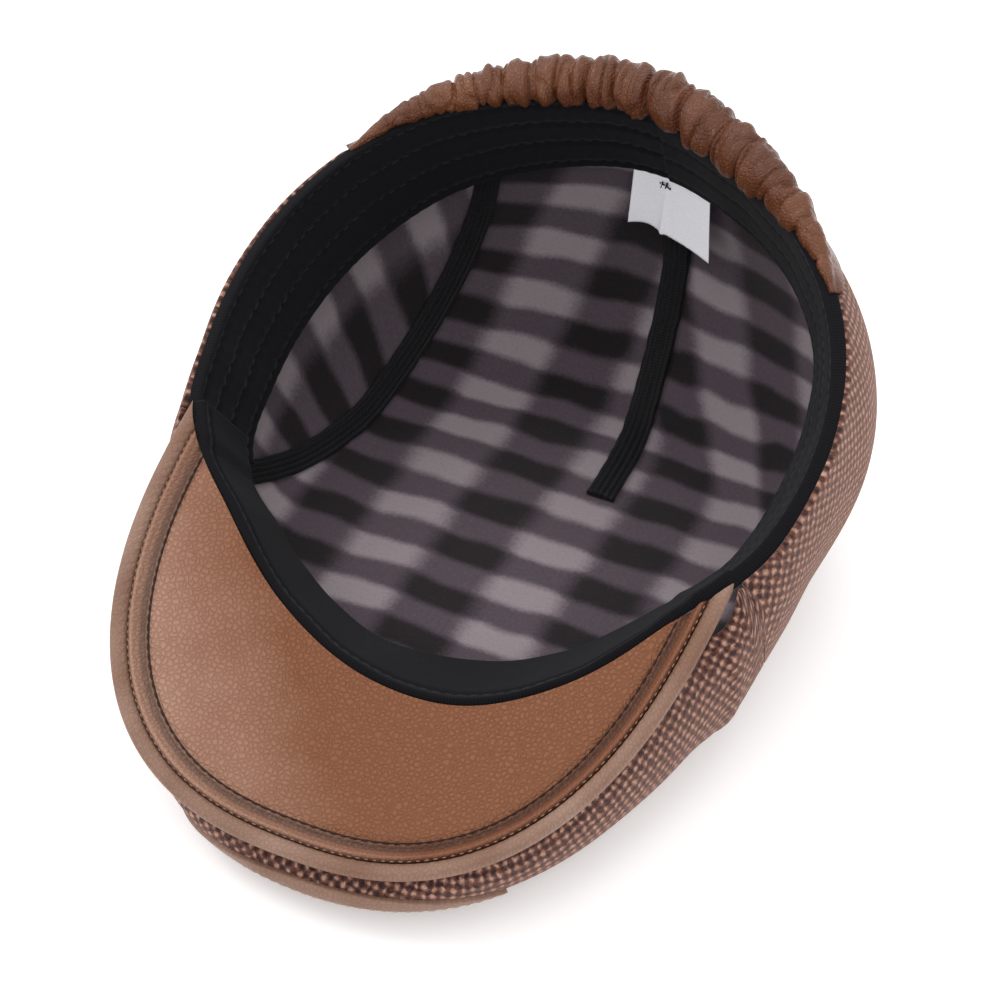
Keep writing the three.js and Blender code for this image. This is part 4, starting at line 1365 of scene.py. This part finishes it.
LABEL_WIDTH = 27.0
LABEL_LENGTH = 18.0
LABEL_START_DEG = 183.4
LABEL_CREASE_AT = 0.42
LABEL_LOOSE_FROM = 0.4
u, v = np.meshgrid(np.linspace(0, 1, 70), np.linspace(0, 1, 40), indexing="ij")
label_deg = LABEL_START_DEG - u * math.degrees(LABEL_WIDTH / RIM_BACK)
top = band_point(label_deg, BAND_WIDTH - 0.5 + 0 * u, BAND_THICKNESS / 2 + 0.9 + 0 * u)
loose = np.maximum(0, u - LABEL_LOOSE_FROM)
lean = np.radians(13 + 14 * loose)
fall = LABEL_LENGTH * v * (1 + 0.12 * loose)
belly = 1.4 * np.sin(np.pi * np.minimum(1, u / LABEL_LOOSE_FROM)) * v
crease = belly - 0.9 * hump(u, LABEL_CREASE_AT, 0.03) * v
wave = 0.5 * ripples(u * 27, v * 18, 22, 60) * v
middle = top + np.stack([5 * loose * v, crease + wave - fall * np.sin(lean), -fall * np.cos(lean)], -1)
edge = np.minimum(rounded(u, 0.02), rounded(v, 0.02))
shift = np.stack([0 * u, 0.12 + 0.1 * edge, 0 * u], -1)
cloth = np.stack([u * LABEL_WIDTH, v * LABEL_LENGTH], -1)
label = closed_sheet("care_label_satin", middle - shift, middle + shift, cloth, False, satin_material())
put_on(label, "care_label")

# %% [markdown]
# ## Stitches
# Each row of stitches is a line of points on a finished surface. A Geometry Nodes tree walks along
# the line, sets down one short rounded thread at each step, turns each along the line, and sizes
# each a little at random from a fixed seed. The rows are turned into plain meshes before they join the cap.

# %% The stitch tree
STITCH_SIDES = 6


def thread_material(name, colour, roughness):
    """Spun polyester sewing thread: one plain colour with a faint gloss."""
    material, tree = new_material(name)
    thread = add(tree, "BsdfPrincipled", {
        "Base Color": linear(colour), "Roughness": roughness, "Specular IOR Level": 0.3,
    })
    finish_material(tree, thread)
    return material


def stitch_tree():
    """Sets rounded threads along a line; every size is a named input."""
    tree = bpy.data.node_groups.new("sew_stitches", "GeometryNodeTree")
    sockets = tree.interface
    sockets.new_socket("Geometry", in_out="INPUT", socket_type="NodeSocketGeometry")
    for name, value in (("Pitch", 0.003), ("Length", 0.002), ("Thickness", 0.0004), ("Unevenness", 0.12)):
        made = sockets.new_socket(name, in_out="INPUT", socket_type="NodeSocketFloat")
        made.default_value = value
    seed = sockets.new_socket("Seed", in_out="INPUT", socket_type="NodeSocketInt")
    seed.default_value = 7
    sockets.new_socket("Thread", in_out="INPUT", socket_type="NodeSocketMaterial")
    sockets.new_socket("Geometry", in_out="OUTPUT", socket_type="NodeSocketGeometry")
    given = tree.nodes.new("NodeGroupInput").outputs
    line = add(tree, "GeometryNodeMeshToCurve", {"Mesh": given["Geometry"]})
    points = add(tree, "GeometryNodeCurveToPoints", {"Curve": line, "Length": given["Pitch"]}, mode="LENGTH")
    half = add(tree, "Math", {0: given["Length"], 1: 0.5}, operation="MULTIPLY")
    ball = add(tree, "GeometryNodeMeshUVSphere", {"Segments": STITCH_SIDES, "Rings": 5, "Radius": 1.0})
    shape = add(tree, "CombineXYZ", {0: given["Thickness"], 1: given["Thickness"], 2: half})
    one = add(tree, "GeometryNodeTransform", {"Geometry": ball.outputs["Mesh"], "Scale": shape})
    low = add(tree, "Math", {0: 1.0, 1: given["Unevenness"]}, operation="SUBTRACT")
    high = add(tree, "Math", {0: 1.0, 1: given["Unevenness"]}, operation="ADD")
    size = add(tree, "FunctionNodeRandomValue", {2: low, 3: high, "Seed": given["Seed"]}, data_type="FLOAT")
    sewn = add(tree, "GeometryNodeInstanceOnPoints", {
        "Points": points.outputs["Points"], "Instance": one,
        "Rotation": points.outputs["Rotation"], "Scale": size.outputs[1],
    })
    real = add(tree, "GeometryNodeRealizeInstances", {"Geometry": sewn})
    done = add(tree, "GeometryNodeSetMaterial", {"Geometry": real, "Material": given["Thread"]})
    add(tree, "NodeGroupOutput", {"Geometry": done})
    return tree


STITCHES = stitch_tree()
SOCKETS = {item.name: item.identifier for item in STITCHES.interface.items_tree if item.in_out == "INPUT"}


def sew(name, line, pitch, length, thickness, material, seed, unevenness=0.12):
    """A row of stitches along a line of points in mm."""
    mesh = bpy.data.meshes.new(name + "_line")
    mesh.from_pydata((line * MM).tolist(), [(i, i + 1) for i in range(len(line) - 1)], [])
    guide = bpy.data.objects.new(name + "_line", mesh)
    scene.collection.objects.link(guide)
    modifier = guide.modifiers.new("stitches", "NODES")
    modifier.node_group = STITCHES
    settings = {"Pitch": pitch * MM, "Length": length * MM, "Thickness": thickness * MM,
                "Unevenness": unevenness, "Seed": seed, "Thread": material}
    for key, value in settings.items():
        modifier[SOCKETS[key]] = value
    ready = guide.evaluated_get(bpy.context.evaluated_depsgraph_get())
    sewn = bpy.data.objects.new(name, bpy.data.meshes.new_from_object(ready))
    scene.collection.objects.link(sewn)
    guide.modifiers.remove(modifier)
    bpy.data.objects.remove(guide)
    print(name, "faces:", len(sewn.data.polygons))
    return sewn


pale_thread = thread_material("pale_tan_thread", "#8f6f5b", 0.6)
cream_thread = thread_material("cream_thread", "#b79d8b", 0.6)
brown_thread = thread_material("dark_brown_thread", "#2c1a12", 0.7)
black_thread = thread_material("black_thread", "#1c1c20", 0.6)

# %% Rows of stitches
def bill_row(inside, above):
    """A line at one distance inside the bill's edge, from corner to corner."""
    degs = bunched(corner_angle(-1, inside, 1.6), corner_angle(1, inside, 1.6), 900)
    out = bill_depth(degs) - inside * edge_stretch(degs)
    return bill_point(degs, out, above + 0 * out)


def band_row(degs, depth, standing_out):
    """A line along a band's face at one depth below the rim."""
    depths = np.full(len(degs), depth)
    return band_point(degs, depths, BAND_THICKNESS + standing_out(degs, depths) + 0.05)


def front_face(deg, depth):
    return front_base(deg) + front_swell(deg, depth)


strip_reach = STRIP_HALF_DEG - 0.6
strip_degs = np.linspace(STRIP_MIDDLE_DEG - strip_reach, STRIP_MIDDLE_DEG + strip_reach, 300)
strip_places = strip_share(strip_degs, np.array([STRIP_STITCHES_AT]))[:, 0]
strip_line = inset(crown_surface, strip_degs, strip_places, -1.15)
binding_line = bill_row(BINDING_WIDTH + 0.25, 0.15)
border_line = bill_row(BINDING_WIDTH + BORDER_WIDTH - 0.35, -0.05)
front_line = band_row(np.linspace(3 - BILL_CORNER, BILL_CORNER - 3, 500), FRONT_ROW, front_face)
back_lines = [band_row(np.linspace(64, 296, 900), depth, band_swell) for depth in BAND_ROWS]
SEWN_ROWS = [
    # name, line, pitch, length, half thickness, thread, seed
    ("stitches_binding", binding_line, 2.3, 1.2, 0.2, pale_thread, 3),
    ("stitches_border", border_line, 2.9, 2.1, 0.34, brown_thread, 4),
    ("stitches_front_strip", strip_line, 3.1, 2.2, 0.4, cream_thread, 5),
    *((f"stitches_sweatband_{k + 1}", line, 3.6, 2.7, 0.2, black_thread, 10 + k)
      for k, line in enumerate(back_lines)),
    ("stitches_front_band", front_line, 3.6, 2.7, 0.2, black_thread, 20),
]
for row in SEWN_ROWS:
    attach(sew(*row), "root")

# %% [markdown]
# ## Thread tack on the label
# A few turns of black thread hold the label's upper edge.

# %% Thread tack
tack_u = np.linspace(0, 1, 80)
TACK_DEG = 176.52
tack_deg = TACK_DEG + 2.4 * (tack_u - 0.5)
tack_depth = BAND_WIDTH + 1.6 + 1.3 * np.sin(tack_u * 5 * math.pi)
tack_line = band_point(tack_deg, tack_depth, BAND_THICKNESS + 1.9 + 0.35 * np.cos(tack_u * 9 * math.pi))
tack = sew("thread_tack", tack_line, 0.35, 0.9, 0.28, black_thread, 30)
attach(tack, "root")
